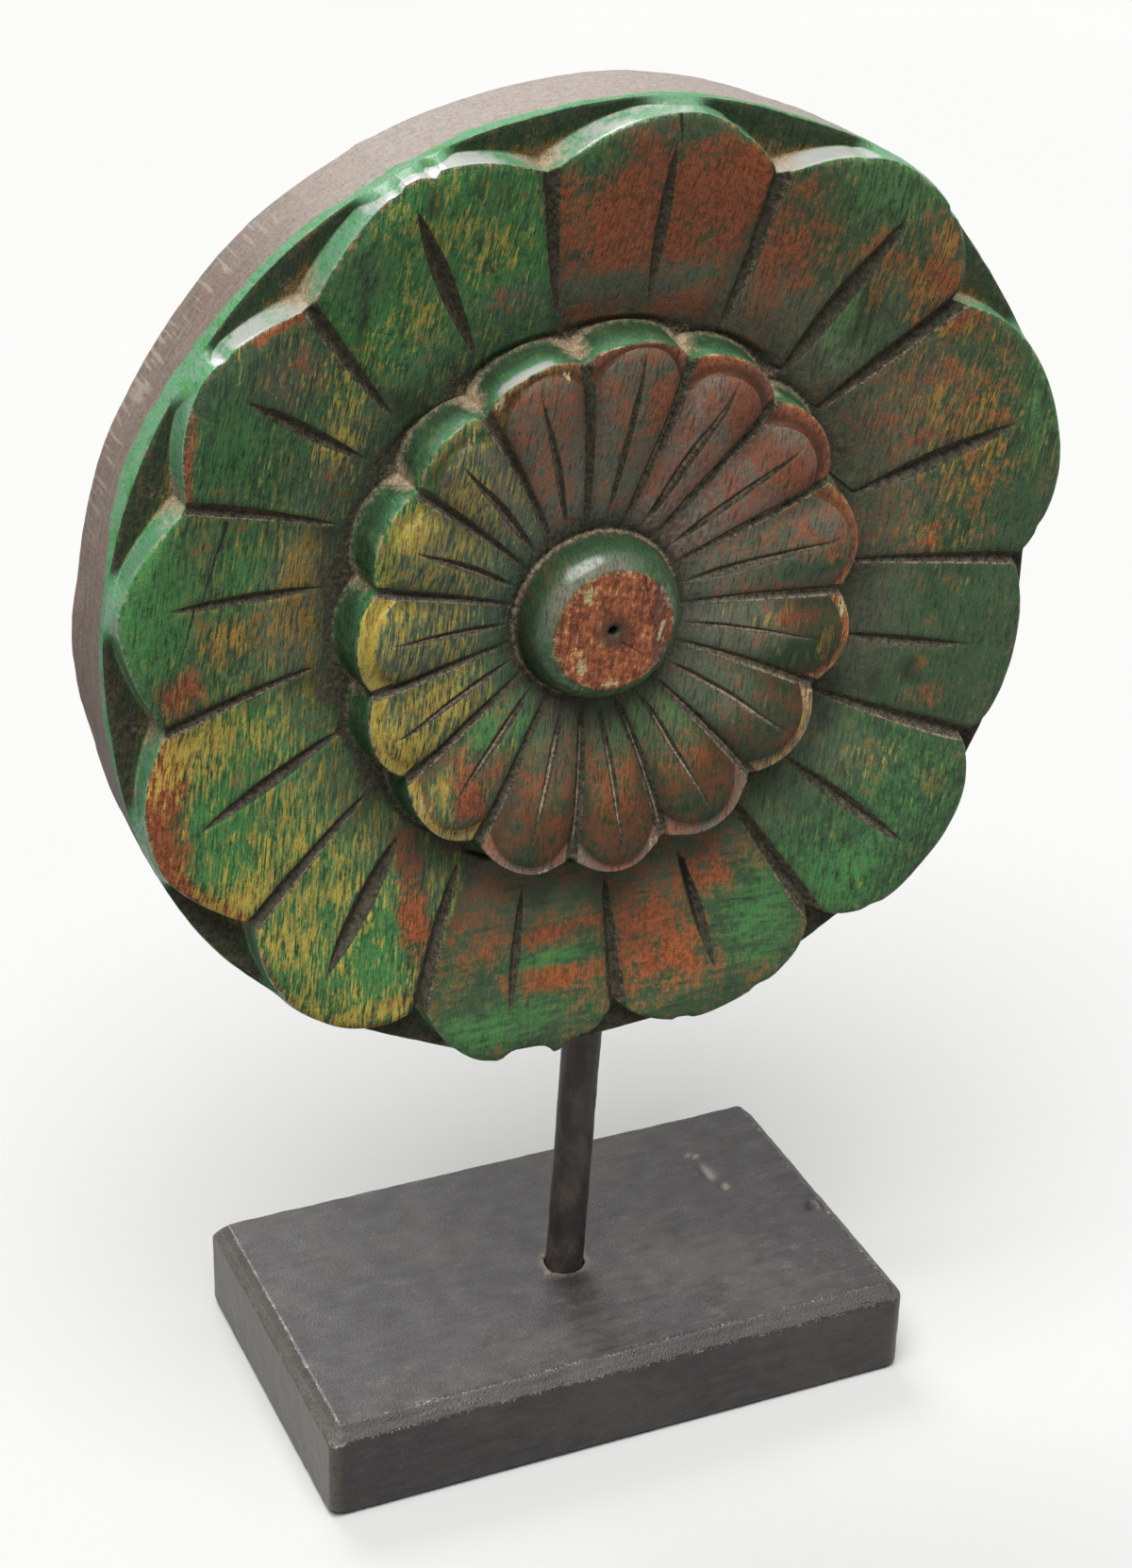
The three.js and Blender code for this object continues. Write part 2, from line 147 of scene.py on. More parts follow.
# Strength of the painted highlight on the upright edge of each inner petal.
INNER_HIGHLIGHT = np.array([0.40, 0.6, 0.4, 0.3, 0.2, 0.1, 0.1, 0.1, 0.1, 0.1, 0.1, 0.2, 0.35, 0.5, 1.0])
# The same on the upright edge of each outer petal, where it looks up.
OUTER_HIGHLIGHT = np.array([0.62, 1, 1, 1, 1, 1, 1, 0.5, 0.5, 0.6, 0.72, 0.92])
# Touches on top of that: x, z, their two half sizes, and more or less red, ochre, bright green and veil.
OUTER_TOUCHES = [
    (8, 85, 14, 12, 0.35, 0, -0.1, 0), (27, 93, 7, 9, 0.4, 0, -0.1, 0), (-8, 103, 8, 5, -0.35, 0, 0.3, 0),
    (12, 107, 12, 3, -0.3, 0.05, -0.1, 0), (5, 73, 22, 4, -0.4, 0, -0.1, 0), (23, 107, 4, 2, 0, 0.4, 0, 0),
    (42, 82, 8, 10, 0.22, 0, 0, 0), (38, 72, 7, 8, 0.25, 0, 0, 0.1), (62, 90, 14, 9, -0.3, -0.1, 0.25, 0),
    (66, 68, 8, 8, 0.10, 0.24, 0, 0), (74, 62, 6, 8, 0.20, 0.18, 0, 0), (76.5, 77, 2.5, 5, 0, 0.6, 0, 0),
    (52, 52, 9, 8, -0.3, -0.1, 0.2, 0), (55, 62, 5, 8, -0.2, 0, 0.3, 0), (82, 57, 6, 3, 0.4, 0.1, 0, 0),
    (90, 28, 7, 14, 0.05, 0.22, 0, 0), (75, 40, 10, 12, 0.12, 0.12, 0, 0.25),
    (104, 35, 6, 16, -0.25, -0.1, 0.15, 0), (104, 8, 8, 10, -0.25, -0.2, -0.1, 0),
    (63, 20, 5, 10, -0.1, -0.05, 0.1, 0), (82, 4, 5, 5, 0.1, 0.1, 0, 0), (85, -6, 9, 4, 0.15, 0.1, 0, 0),
    (95, -25, 6, 12, -0.05, 0, -0.1, 0), (85, -36, 5, 4, 0.25, 0, 0, 0),
    (68, -50, 9, 6, 0.12, 0.15, 0, 0.2), (60, -78, 14, 8, -0.1, -0.05, 0.25, 0),
    (85, -58, 4, 6, 0.15, 0, 0, 0), (13, -85, 9, 14, 0.35, 0, -0.1, 0), (30, -72, 9, 5, 0.25, 0.05, 0, 0),
    (24, -92, 8, 5, 0.2, 0, 0, 0), (42, -86, 9, 12, -0.35, 0, 0.25, 0),
    (20, -104, 14, 3, -0.1, 0.05, -0.1, 0), (-10, -80.5, 10, 2.2, 0.45, 0, 0, 0),
    (-9, -92, 8, 3, 0.35, 0, 0, 0), (-30, -70, 9, 9, 0.16, 0, -0.1, 0.1),
    (-101, -40, 6, 16, 0.45, -0.15, -0.2, 0), (-10, -86.5, 12, 1.6, -0.4, 0, 0.3, 0),
    (-10, -72, 12, 3, -0.25, 0, 0, 0), (-25, -100, 16, 5, -0.4, 0, 0.3, 0),
    (-44, -70, 4.5, 16, 0.6, -0.3, -0.4, 0), (-45, -52, 6, 6, 0.4, -0.2, -0.3, 0),
    (-54, -77, 7, 8, -0.1, -0.15, 0.3, 0), (-72, -66, 8, 10, 0, 0.1, 0.05, 0),
    (-56, -89, 12, 2.5, 0.15, 0.2, -0.2, 0), (-50, -88, 5, 1.5, 0.5, 0.1, -0.3, 0),
    (-100, -20, 5, 10, 0.6, 0.1, -0.4, 0), (-93, -15, 8, 4, 0.15, 0.2, -0.2, 0),
    (-90, -55, 9, 4, 0.2, 0.3, -0.3, 0), (-88, -36, 8, 10, -0.05, -0.2, 0.1, 0),
    (-68, -22, 8, 8, 0, -0.12, 0.15, 0), (-76, -48, 8, 7, 0, 0.12, 0, 0),
    (-102, 18, 8, 14, -0.15, -0.28, 0.35, 0), (-85, 6, 8, 5, 0.15, 0.2, -0.1, 0),
    (-97, -3, 5, 5, 0.5, 0, -0.3, 0), (-70, 8, 7, 10, 0, 0.25, -0.05, 0.1),
    (-68, 22, 6, 7, 0, 0.15, 0, 0.1), (-82, 22, 5, 8, -0.05, -0.1, 0.2, 0),
    (-72, 64, 9, 8, 0.25, 0.1, -0.15, 0.35), (-85, 50, 8, 10, -0.15, -0.1, 0.2, 0),
    (-60, 44, 6, 8, 0, 0.35, 0, 0.1), (-40, 90, 9, 4, 0, 0.25, 0.1, 0), (-42, 70, 4, 6, 0, 0.25, 0, 0),
    (-58, 57, 7, 10, 0, 0.25, 0.05, 0), (-28, 84, 7, 5, 0.2, 0.2, 0, 0),
    (-57, 82, 6, 8, 0, -0.2, -0.25, 0.1), (-22, 72, 8, 4, 0.3, -0.15, -0.3, 0.2),
    (-47, 80, 5, 6, -0.1, 0, 0.25, 0), (-90, 66, 12, 11, -0.4, 0, 0, 0), (77, 76, 6, 12, 0.12, -0.1, 0, 0),
    (66, 60, 4, 9, -0.25, -0.2, 0.1, 0.1),
]
INNER_TOUCHES = [
    (-5, 42, 4, 14, -0.15, 0, 0, 0.25), (9, 48, 4, 9, 0.25, 0, 0, -0.25),
    (19, 40, 4, 10, -0.05, 0, 0, 0.25), (29, 43, 4, 8, 0.35, 0, -0.1, -0.45), (40, 33, 7, 5, 0.2, 0, 0, 0),
    (42, 26, 7, 4, 0.25, 0, 0, -0.4), (48, 15, 8, 3, 0.1, 0, -0.1, 0.25),
    (45, 4, 12, 3, -0.3, -0.1, 0, -0.3), (53, 6, 2.5, 2.5, 0.4, 0.4, 0, -0.4),
    (45, -7, 9, 2.5, 0.25, 0.1, 0, 0), (45, -16, 8, 4, -0.25, 0, -0.1, -0.3),
    (52, -15, 2, 5, 0.3, 0.3, 0, -0.2), (40, -28, 6, 4, 0.1, 0.1, 0, 0.1),
    (27, -42, 5, 6, 0.12, 0, 0, -0.3), (22, -25, 9, 7, -0.3, 0, 0.15, 0), (5, -50, 5, 7, 0.12, 0, 0, -0.3),
    (6, -28, 6, 8, -0.3, 0, 0.15, 0), (-13, -50, 4, 7, 0.12, 0, 0, -0.3),
    (-23, -45, 4, 9, -0.05, 0, 0, 0.25), (-17, -25, 5, 8, -0.3, 0, 0.25, -0.1),
    (-33, -38, 4, 6, 0.45, -0.2, -0.3, -0.2), (-40, -36, 3, 6, -0.2, 0.3, 0.2, 0),
    (-28, -23, 5, 5, -0.2, -0.1, 0.35, -0.1), (-40, -14, 5, 4, 0.3, 0, 0, 0),
    (-48, -24, 5, 5, 0, 0.25, 0.1, -0.1), (-47, 27, 4, 4, 0, 0.3, 0, -0.1),
    (-35, 33, 5, 6, 0.1, 0.2, 0, -0.1), (-42, 22, 9, 3, 0, 0, 0, 0.2),
]

# Splits and slips of the knife: two ends on the disc's face, and the width.
SPLITS = [
    (-85.4, 33.4, -92.4, 15.0, 0.9), (-93.3, 15.8, -96.7, 4.6, 0.7), (23.4, -69.5, 27.1, -88.0, 1.7),
    (11.0, 109.8, 11.5, 103.8, 0.9), (0.2, -4.2, 6.9, -8.9, 0.35), (5.2, 10.5, 6.9, 2.1, 0.4),
    (6.9, 2.1, 10.6, -9.6, 0.3),
]
# Rough scars torn along the grain: x, z, half width and half height, and strength.
SCARS = [
    (58.6, 60, 0.8, 9, 1.0), (61.4, 62, 0.7, 7, 0.9), (56.2, 53, 0.7, 5, 0.7), (64.0, 63, 0.5, 4, 0.6),
    (-55.9, 72, 1.6, 7, 0.8), (78.6, -28.4, 2.6, 3.6, 0.8), (70.4, -31, 1.8, 4, 0.8),
    (58.6, -38.5, 2.4, 4.5, 0.8), (-79.3, -7.5, 1.6, 4, 0.8), (-42.5, 97, 2.0, 3.6, 0.9),
    (-32.4, 99.5, 1.6, 3, 0.7), (44.2, 102, 2.0, 2.6, 0.9), (66, -22, 6, 5, 0.35), (-41, -14, 2, 5, 0.5),
]
# Cream flakes left on the inner petals' tips, in the same way.
FLAKES = [
    (13, -59.5, 3.4, 3.0, 1.0), (-15, -60, 3.4, 1.6, 0.9), (-27.5, 53, 2.2, 2.0, 1.0),
    (-13, 57, 1.3, 1.6, 1.0), (56.5, -6, 1.6, 2.4, 1.0), (-45, -37, 2.0, 2.6, 0.6),
    (49.5, -26, 2.2, 7.0, 0.7), (-33, 47, 1.6, 2.4, 0.7),
]
# The same on the boss, from its own centre.
BOSS_FLAKES = [
    (-6.2, 9.8, 1.5, 3.0, 1.0), (-7.6, -7.4, 1.4, 2.2, 0.9), (11.4, -1.5, 0.7, 4.5, 0.9),
    (12.4, 7.0, 0.7, 3.2, 1.0), (-9.2, 2.0, 0.5, 2.4, 0.6), (1.0, -3.4, 1.5, 1.0, 0.5),
    (-1.0, -12.6, 5.0, 0.7, 0.8), (6.5, 9.0, 0.5, 4.0, 0.6),
]

# The boss: its centre from the disc's, its hole, its worn top, and its side as radius and height.
BOSS_X, BOSS_Y = -1.6, -1.5
BOSS_HOLE_R, BOSS_HOLE_Z, BOSS_TOP_Z, BOSS_TOP_R = 1.1, 28.0, 34.3, 13.9
BOSS_SIDE = [(13.9, 34.3), (15.5, 33.2), (17.0, 31.3), (18.2, 28.6), (18.9, 25.2)]
BOSS_FLAT_RINGS = (2.4, 3.2, 4.2, 5.4, 6.6, 7.8, 9.0, 10.2, 11.4, 12.6)

# The rim's height, how much smaller the disc is at its back, and how far the rim stays outside the petals.
RIM_Z, BACK_SHRINK, RIM_CLEAR = 23.3, 0.8, 0.3
# Radius at which the marks round the rim are measured.
RIM_R = 112.0
# Rings of the rim: height, and how far each lies in from it.
RIM_RINGS = [
    (RIM_Z - 0.12, 0.25), (RIM_Z - 0.6, 0.03), (22.0, 0), (21.2, 0), (20.4, 0), (19.6, 0), (18.6, 0),
    (17.4, 0), (15.6, 0), (13.5, 0), (10.0, 0), (6.6, 0), (3.4, 0), (1.0, 0.05), (0.25, 0.3), (0.0, 0.8),
]
# Slope of the notches' floors, and the lean of the outer petals' upright edge.
FLOOR_SLOPE, WALL_DRAFT = 0.2, 0.5
# The outer petals' faces: the trench and the lip as radius and height, and how hollow the way between is.
TRENCH_R, TRENCH_Z, LIP_R, LIP_Z, BOWL_CURVE = 64.5, 21.2, 105.0, 29.4, 1.12
# The inner flower: radius in its valleys, how oval it is, how far its tips stand out and how full they are.
INNER_VALLEY_R, INNER_OVAL, INNER_TIP_OUT, INNER_ROUND = 57.5, 1.8, 3.8, 2.2
# The foot of its upright edge, the hollow round the boss, and the slope of its faces.
INNER_FOOT_OUT, INNER_FOOT_Z, HUB_R, HUB_Z, INNER_SLOPE = 1.2, 20.6, 21.0, 24.4, 0.18

# Sectors of a ring, and how they fall to each petal: half a valley, half a face and half a middle cut.
SECTORS = 720
OUTER_COUNTS, INNER_COUNTS = (5, 19, 6), (4, 16, 4)

# The marks, four to an attribute of the mesh.
# The fourth tone mark is a painted highlight on the upright edges and cream flakes on the faces.
# The shade mark is painted shade, with scars and dirt in places.
MARKS = {
    "paint": ("red", "ochre", "bright", "veil"), "wear": ("cut", "lip", "dust", "bare"),
    "zone": ("wall", "level", "top", "gloss"), "tone": ("flank", "shade", "mauve", "glaze"),
}
# Side from which the cuts' flanks take painted light and dust, across and up.
LIGHT_AND_DUST_FROM = (0.35, 0.94)
# Way that the painted highlight on the upright edges looks, across and up, and how squarely: from none to
# all.
INNER_LIT = ((-0.45, 0.89), 0.80, 0.98)
OUTER_LIT = ((-0.3, 0.95), 0.76, 0.97)

# The rod: its foot, its two ends, the gap round it in its sockets, and how finely it is made.
ROD_FOOT_X, ROD_Y, ROD_LOW_Z, ROD_TOP_Z, SOCKET_GAP = 0.8, -4.1, 7.0, 136.0, 0.3
ROD_SIDES, ROD_CUTS = 64, 110
# The block: its height, the cuts along each side, the share of them that are spaced wide, from the middle,
# and the width of the band by each edge where the others lie close together.
BLOCK_TOP_Z = 25.0
BLOCK_CUTS, BLOCK_OPEN, BLOCK_NEAR = (119, 83, 35), (0.72, 0.66, 0.30), (9.0, 9.0, 6.0)
# How far in the bevels are worked out, and how close to a flat a point counts as part of it.
BEVEL_REACH, ON_FLAT = 4.2, 0.01
# Dents in the block's top: x, y, half length, half width, turn and depth, then 1 for a hole and for a gouge.
BLOCK_DENTS = [
    (69.6, -6.2, 2.0, 1.1, 15.0, 1.6, 1, 0), (50.6, 25.0, 2.2, 0.6, 130.0, 0.35, 0, 1),
    (51.2, 17.0, 5.0, 0.6, 97.0, 0.35, 0, 1), (52.6, 9.5, 2.6, 0.6, 70.0, 0.25, 0, 1),
    (22.0, -9.0, 5.0, 3.0, 0.0, 0.12, 0, 0),
]
# Radius of the ring of dirt round the rod's foot.
DIRT_RING_R = 5.7

# Camera fitted to the photograph: turn, tilt and roll, its distance, and its shift to the right and up.
CAMERA_ANGLES = (-24.4149, 28.235, 1.6636)
CAMERA_AWAY, CAMERA_SHIFT = 779.7236, (3.4712, 139.956)
# Lamps: name, direction they shine from and apparent width in degrees.
LAMPS = [("overhead", (-0.20, -0.29, 0.935), 48.0), ("backdrop", (-0.06, 0.68, 0.73), 30.0)]
# Half the floor's side, in metres.
FLOOR_HALF = 6.0


class CarvingProps(bpy.types.PropertyGroup):
    """How deep and how rough the rosette is carved."""

    cut_width: bpy.props.FloatProperty(
        name="Cut width", description="Width of the cuts, as a share of the measured one",
        default=1.0, min=0.3, max=1.5)
    cut_depth: bpy.props.FloatProperty(
        name="Cut depth", description="Depth of the cuts, as a share of their width",
        default=0.45, min=0.1, max=0.8)
    outer_crown: bpy.props.FloatProperty(
        name="Outer crown", description="Rise of the outer petals between their cuts, in millimetres",
        default=0.9, min=0.0, max=3.0)
    inner_crown: bpy.props.FloatProperty(
        name="Inner crown", description="Rise of the inner petals between their cuts, in millimetres",
        default=2.5, min=0.0, max=4.0)
    roughness: bpy.props.FloatProperty(
        name="Tool marks", description="Height of the unevenness that the tools left, in millimetres",
        default=0.16, min=0.0, max=1.0)
    seed: bpy.props.IntProperty(
        name="Seed", description="Start number for the uneven surface", default=7, min=0)


class StandProps(bpy.types.PropertyGroup):
    """Sizes of the rod and the block."""

    rod_radius: bpy.props.FloatProperty(
        name="Rod radius", description="Radius of the iron rod",
        default=4.7 * MM, subtype="DISTANCE", unit="LENGTH")
    rod_lean: bpy.props.FloatProperty(
        name="Rod lean", description="Lean of the rod to the right",
        default=math.radians(2.4), subtype="ANGLE", unit="ROTATION")
    edge_wear: bpy.props.FloatProperty(
        name="Edge wear", description="Radius to which the block's top edges are worn",
        default=3.4 * MM, subtype="DISTANCE", unit="LENGTH")


class FinishProps(bpy.types.PropertyGroup):
    """Colours of the paint, the stain and the iron."""

    green: bpy.props.FloatVectorProperty(
        name="Green paint", description="Top coat of the rosette", subtype="COLOR", size=3,
        default=(0.017, 0.054, 0.019), min=0, max=1)
    bright_green: bpy.props.FloatVectorProperty(
        name="Bright green", description="Top coat where it is least worn", subtype="COLOR", size=3,
        default=(0.026, 0.132, 0.029), min=0, max=1)
    pale_green: bpy.props.FloatVectorProperty(
        name="Pale green", description="Chalky top coat on the upright edges", subtype="COLOR", size=3,
        default=(0.050, 0.158, 0.076), min=0, max=1)
    red: bpy.props.FloatVectorProperty(
        name="Rust red", description="Under coat of the rosette", subtype="COLOR", size=3,
        default=(0.212, 0.046, 0.013), min=0, max=1)
    ochre: bpy.props.FloatVectorProperty(
        name="Ochre", description="Second under coat of the rosette", subtype="COLOR", size=3,
        default=(0.255, 0.200, 0.034), min=0, max=1)
    wood: bpy.props.FloatVectorProperty(
        name="Bare wood", description="Old wood of the rim and the back", subtype="COLOR", size=3,
        default=(0.102, 0.080, 0.066), min=0, max=1)
    stain: bpy.props.FloatVectorProperty(
        name="Block stain", description="Dark stain of the block", subtype="COLOR", size=3,
        default=(0.016, 0.0145, 0.014), min=0, max=1)
    iron: bpy.props.FloatVectorProperty(
        name="Iron", description="Dark iron of the rod", subtype="COLOR", size=3,
        default=(0.024, 0.020, 0.018), min=0, max=1)


class StudioProps(bpy.types.PropertyGroup):
    """Floor, light and camera."""

    floor: bpy.props.FloatVectorProperty(
        name="Floor", description="Colour of the floor", subtype="COLOR", size=3,
        default=(0.272, 0.272, 0.269), min=0, max=1)
    sky: bpy.props.FloatProperty(
        name="Room light", description="Brightness of the room on the near side", default=0.28, min=0)
    far_side: bpy.props.FloatProperty(
        name="Far side", description="How much brighter the room is behind the rosette", default=2.6, min=0)
    overhead: bpy.props.FloatProperty(
        name="Overhead light", description="Strength of the soft light above the front", default=8.8, min=0)
    backdrop: bpy.props.FloatProperty(
        name="Backdrop light", description="Strength of the soft light behind", default=2.2, min=0)
    focal: bpy.props.FloatProperty(
        name="Focal length", description="Focal length of the camera in millimetres, on a 36 mm sensor",
        default=70.05, min=10)


# Shader graphs, written as Python arithmetic.


class Wire:
    """One output of a shader node; Python arithmetic on it adds Math nodes."""

    def __init__(self, graph, socket):
        self.graph = graph
        self.socket = socket

    def __add__(self, other):
        return self.graph.math("ADD", self, other)

    def __radd__(self, other):
        return self.graph.math("ADD", other, self)

    def __sub__(self, other):
        return self.graph.math("SUBTRACT", self, other)

    def __rsub__(self, other):
        return self.graph.math("SUBTRACT", other, self)

    def __mul__(self, other):
        return self.graph.math("MULTIPLY", self, other)

    def __rmul__(self, other):
        return self.graph.math("MULTIPLY", other, self)

    def __abs__(self):
        return self.graph.math("ABSOLUTE", self)

    def least(self, other):
        return self.graph.math("MINIMUM", self, other)

    def most(self, other):
        return self.graph.math("MAXIMUM", self, other)

    def held(self):
        return self.least(1.0).most(0.0)

    def rise(self, low, high):
        """Smooth step from 0 at low to 1 at high; low above high gives a fall."""
        settings = {"interpolation_type": "SMOOTHSTEP", "clamp": True}
        ends = (low, high, 0.0, 1.0) if low < high else (high, low, 1.0, 0.0)
        return self.graph.node("ShaderNodeMapRange", settings, {0: self, **dict(enumerate(ends, 1))})


class Graph:
    """A node tree that is being written."""

    def __init__(self, tree):
        self.tree = tree

    def node(self, kind, settings=None, inputs=None, out=0):
        """A node of that type, with its settings made before its inputs; gives one of its outputs."""
        made = self.tree.nodes.new(kind)
        for key, value in (settings or {}).items():
            setattr(made, key, value)
        for key, value in (inputs or {}).items():
            if isinstance(value, Wire):
                self.tree.links.new(value.socket, made.inputs[key])
            else:
                made.inputs[key].default_value = value
        return Wire(self, made.outputs[out])

    def math(self, operation, *values):
        return self.node("ShaderNodeMath", {"operation": operation}, dict(enumerate(values)))

    def vector(self, operation, *values, out=0):
        return self.node("ShaderNodeVectorMath", {"operation": operation}, dict(enumerate(values)), out)

    def point(self, x, y, z):
        return self.node("ShaderNodeCombineXYZ", inputs={"X": x, "Y": y, "Z": z})

    def parts(self, vector):
        return [self.node("ShaderNodeSeparateXYZ", inputs={0: vector}, out=axis) for axis in "XYZ"]

    def place(self):
        """Object coordinates in millimetres."""
        return self.vector("MULTIPLY", self.node("ShaderNodeTexCoord", out="Object"), (1 / MM,) * 3)

    def channels(self, name):
        """The four numbers held in a colour attribute of the mesh."""
        settings = {"attribute_name": name}
        colour = self.node("ShaderNodeAttribute", settings, out="Color")
        fourth = self.node("ShaderNodeAttribute", settings, out="Alpha")
        return [*self.parts(colour), fourth]

    def scaled(self, place, size):
        return self.vector("MULTIPLY", place, tuple(1.0 / s for s in size))

    def blend(self, share, a, b):
        """Mix of two vectors."""
        return self.node("ShaderNodeMix", {"data_type": "VECTOR"}, {0: share, 4: a, 5: b}, out=1)

    def noise(self, place, size, detail=3.0, rough=0.55, shift=0.0):
        """Soft noise about 0.5, with a size in millimetres along each axis."""
        size = size if isinstance(size, tuple) else (size,) * 3
        spot = self.vector("MULTIPLY_ADD", place, tuple(1.0 / s for s in size), (shift,) * 3)
        inputs = {"Vector": spot, "Scale": 1.0, "Detail": detail, "Roughness": rough}
        return self.node("ShaderNodeTexNoise", inputs=inputs)

    def mix(self, share, a, b):
        """Mix of two colours, each a wire or three numbers."""
        a, b = ((*c, 1.0) if isinstance(c, tuple) else c for c in (a, b))
        return self.node("ShaderNodeMix", {"data_type": "RGBA"}, {0: share, 6: a, 7: b}, out=2)


class Finish(Graph):
    """The node tree of one material."""

    def __init__(self, name):
        self.material = bpy.data.materials.new(name)
        self.material.use_nodes = True
        super().__init__(self.material.node_tree)
        self.tree.nodes.clear()
        output = self.tree.nodes.new("ShaderNodeOutputMaterial")
        self.shader = self.tree.nodes.new("ShaderNodeBsdfPrincipled")
        self.tree.links.new(self.shader.outputs[0], output.inputs[0])

    def finish(self, colour, rough, height, depth, specular, metal=None, coat=None):
        """Joins the colour, the roughness and the relief to the shader; depth is in millimetres."""
        bump = {"Strength": 1.0, "Distance": depth * MM, "Height": height}
        links = {
            "Base Color": colour, "Roughness": rough, "Normal": self.node("ShaderNodeBump", inputs=bump),
            "Metallic": metal, "Coat Weight": coat,
        }
        for key, wire in links.items():
            if isinstance(wire, Wire):
                self.tree.links.new(wire.socket, self.shader.inputs[key])
            elif wire is not None:
                self.shader.inputs[key].default_value = wire
        self.shader.inputs["Specular IOR Level"].default_value = specular
        self.shader.inputs["Coat Roughness"].default_value = COAT_ROUGHNESS
        return self.material


def toned(colour, share):
    """A colour made darker or lighter."""
    return tuple(c * share for c in colour)


def coat_share(amount, field, soft):
    """Where an under coat shows: more of the noise field as the amount rises from 0 to 1."""
    return (field + (amount - 0.5) * 1.25).rise(-soft, soft)


class PaintFields:
    """The marks of the rosette's mesh, and the noise that its coats of paint share."""

    def __init__(self, g):
        place = g.place()
        x, y, z = g.parts(place)
        for name, keys in MARKS.items():
            for key, channel in zip(keys, g.channels(name)):
                setattr(self, key, channel)
        # From the middle of the disc's back: to the right, up, and backwards.
        self.across, self.up, self.behind = x - DISC_X, z - DISC_Z, y - DISC_BACK_Y

        # The grain leans a little to the right; the brush strokes of the level petals run across.
        along = g.point(x - z * 0.16, y, z)
        strokes = g.blend(self.level, g.scaled(along, (1.0, 4.0, 5.5)), g.scaled(place, (9.0, 5.0, 1.3)))
        self.fibre = g.noise(along, (0.40, 2.0, 3.8), 2.0, 0.6)
        self.patch = g.noise(place, 6.0, 5.0, 0.66, 1.7)
        self.mottle = g.noise(place, 1.4, 3.0, 0.7, 4.4)
        self.speck = g.noise(place, 0.5, 1.0, 0.6, 5.5)
        self.broad = g.noise(place, 22.0, 1.0, 0.5, 2.2)
        # Way round the rim in millimetres, from the top.
        self.turn = g.math("ARCTAN2", self.across, self.up) * RIM_R
        self.round_place = g.point(self.turn, y, 0.0)
        # The flat back shows the grain of the plank in place of the marks round the rim.
        self.back = self.behind.rise(-0.6, -0.1)
        lathe = g.noise(self.round_place, (13.0, 1.3, 9.0), 4.0, 0.7, 6.1)
        self.lathe = lathe + (g.noise(along, (2.4, 9.0, 42.0), 4.0, 0.6, 9.3) - lathe) * self.back

        # The same about 0, at about the same strength.
        self.run = (g.noise(strokes, 1.0, 3.0, 0.65, 3.1) - 0.5) * 3.2
        self.fine = (self.fibre - 0.5) * 2.6
        self.spots = (self.patch - 0.5) * 3.2
        self.small = (self.mottle - 0.5) * 2.6
        self.grit = (self.speck - 0.5) * 2.0
        self.pore = self.fibre.rise(0.47, 0.34)
        self.mottled = (self.small + self.grit * 0.6).rise(-0.45, 0.45)


def worn_green(g, f, colours):
    """Green top coat: bright where it is least worn, slate or mauve where it is rubbed thin."""
    slate, mauve, dark_slate = (0.086, 0.108, 0.086), (0.225, 0.146, 0.122), (0.046, 0.056, 0.045)
    field = f.small * 0.50 + f.run * 0.36 + f.fine * 0.30 + f.spots * 0.36
    green = g.mix(coat_share(f.bright, field, 0.34), tuple(colours.green), tuple(colours.bright_green))
    worn = coat_share(0.36, f.fine * 0.4 - field * 0.7 - f.grit * 0.2, 0.30)
    green = g.mix(worn * 0.8, green, toned(colours.green, 0.36))
    grey = g.mix(f.mauve, slate, mauve)
    grey = g.mix(coat_share(0.38, f.small * 0.8 + f.fine * 0.5, 0.4), grey, dark_slate)
    return g.mix((f.veil * (1.0 + f.spots * 0.45 + f.small * 0.4)).held() * 0.86, green, grey)


def worn_red(g, f, colours):
    """Rust-red under coat, mottled dark and light."""
    rust, dusty = (0.225, 0.075, 0.018), (0.158, 0.092, 0.070)
    red = g.mix(f.mottled, toned(colours.red, 0.45), toned(colours.red, 1.2))
    red = g.mix((f.fine + f.spots).rise(0.2, 0.8) * 0.5, red, rust)
    return g.mix(f.veil * 0.34, red, dusty)


def worn_ochre(g, f, colours):
    """Ochre under coat, which turns to orange with the mark that elsewhere gives the pink cast."""
    orange, burnt, dusty = (0.240, 0.092, 0.014), (0.205, 0.080, 0.016), (0.120, 0.110, 0.070)
    gold = g.mix((f.small - f.run * 0.3).rise(-0.05, 0.55) * 0.7, tuple(colours.ochre), orange)
    gold = g.mix(f.run.rise(0.1, 0.5) * 0.6, gold, toned(colours.ochre, 1.20))
    gold = g.mix((f.mauve + f.small * 0.4).rise(0.1, 0.8) * 0.85, gold, burnt)
    return g.mix(f.veil * 0.25, gold, dusty)


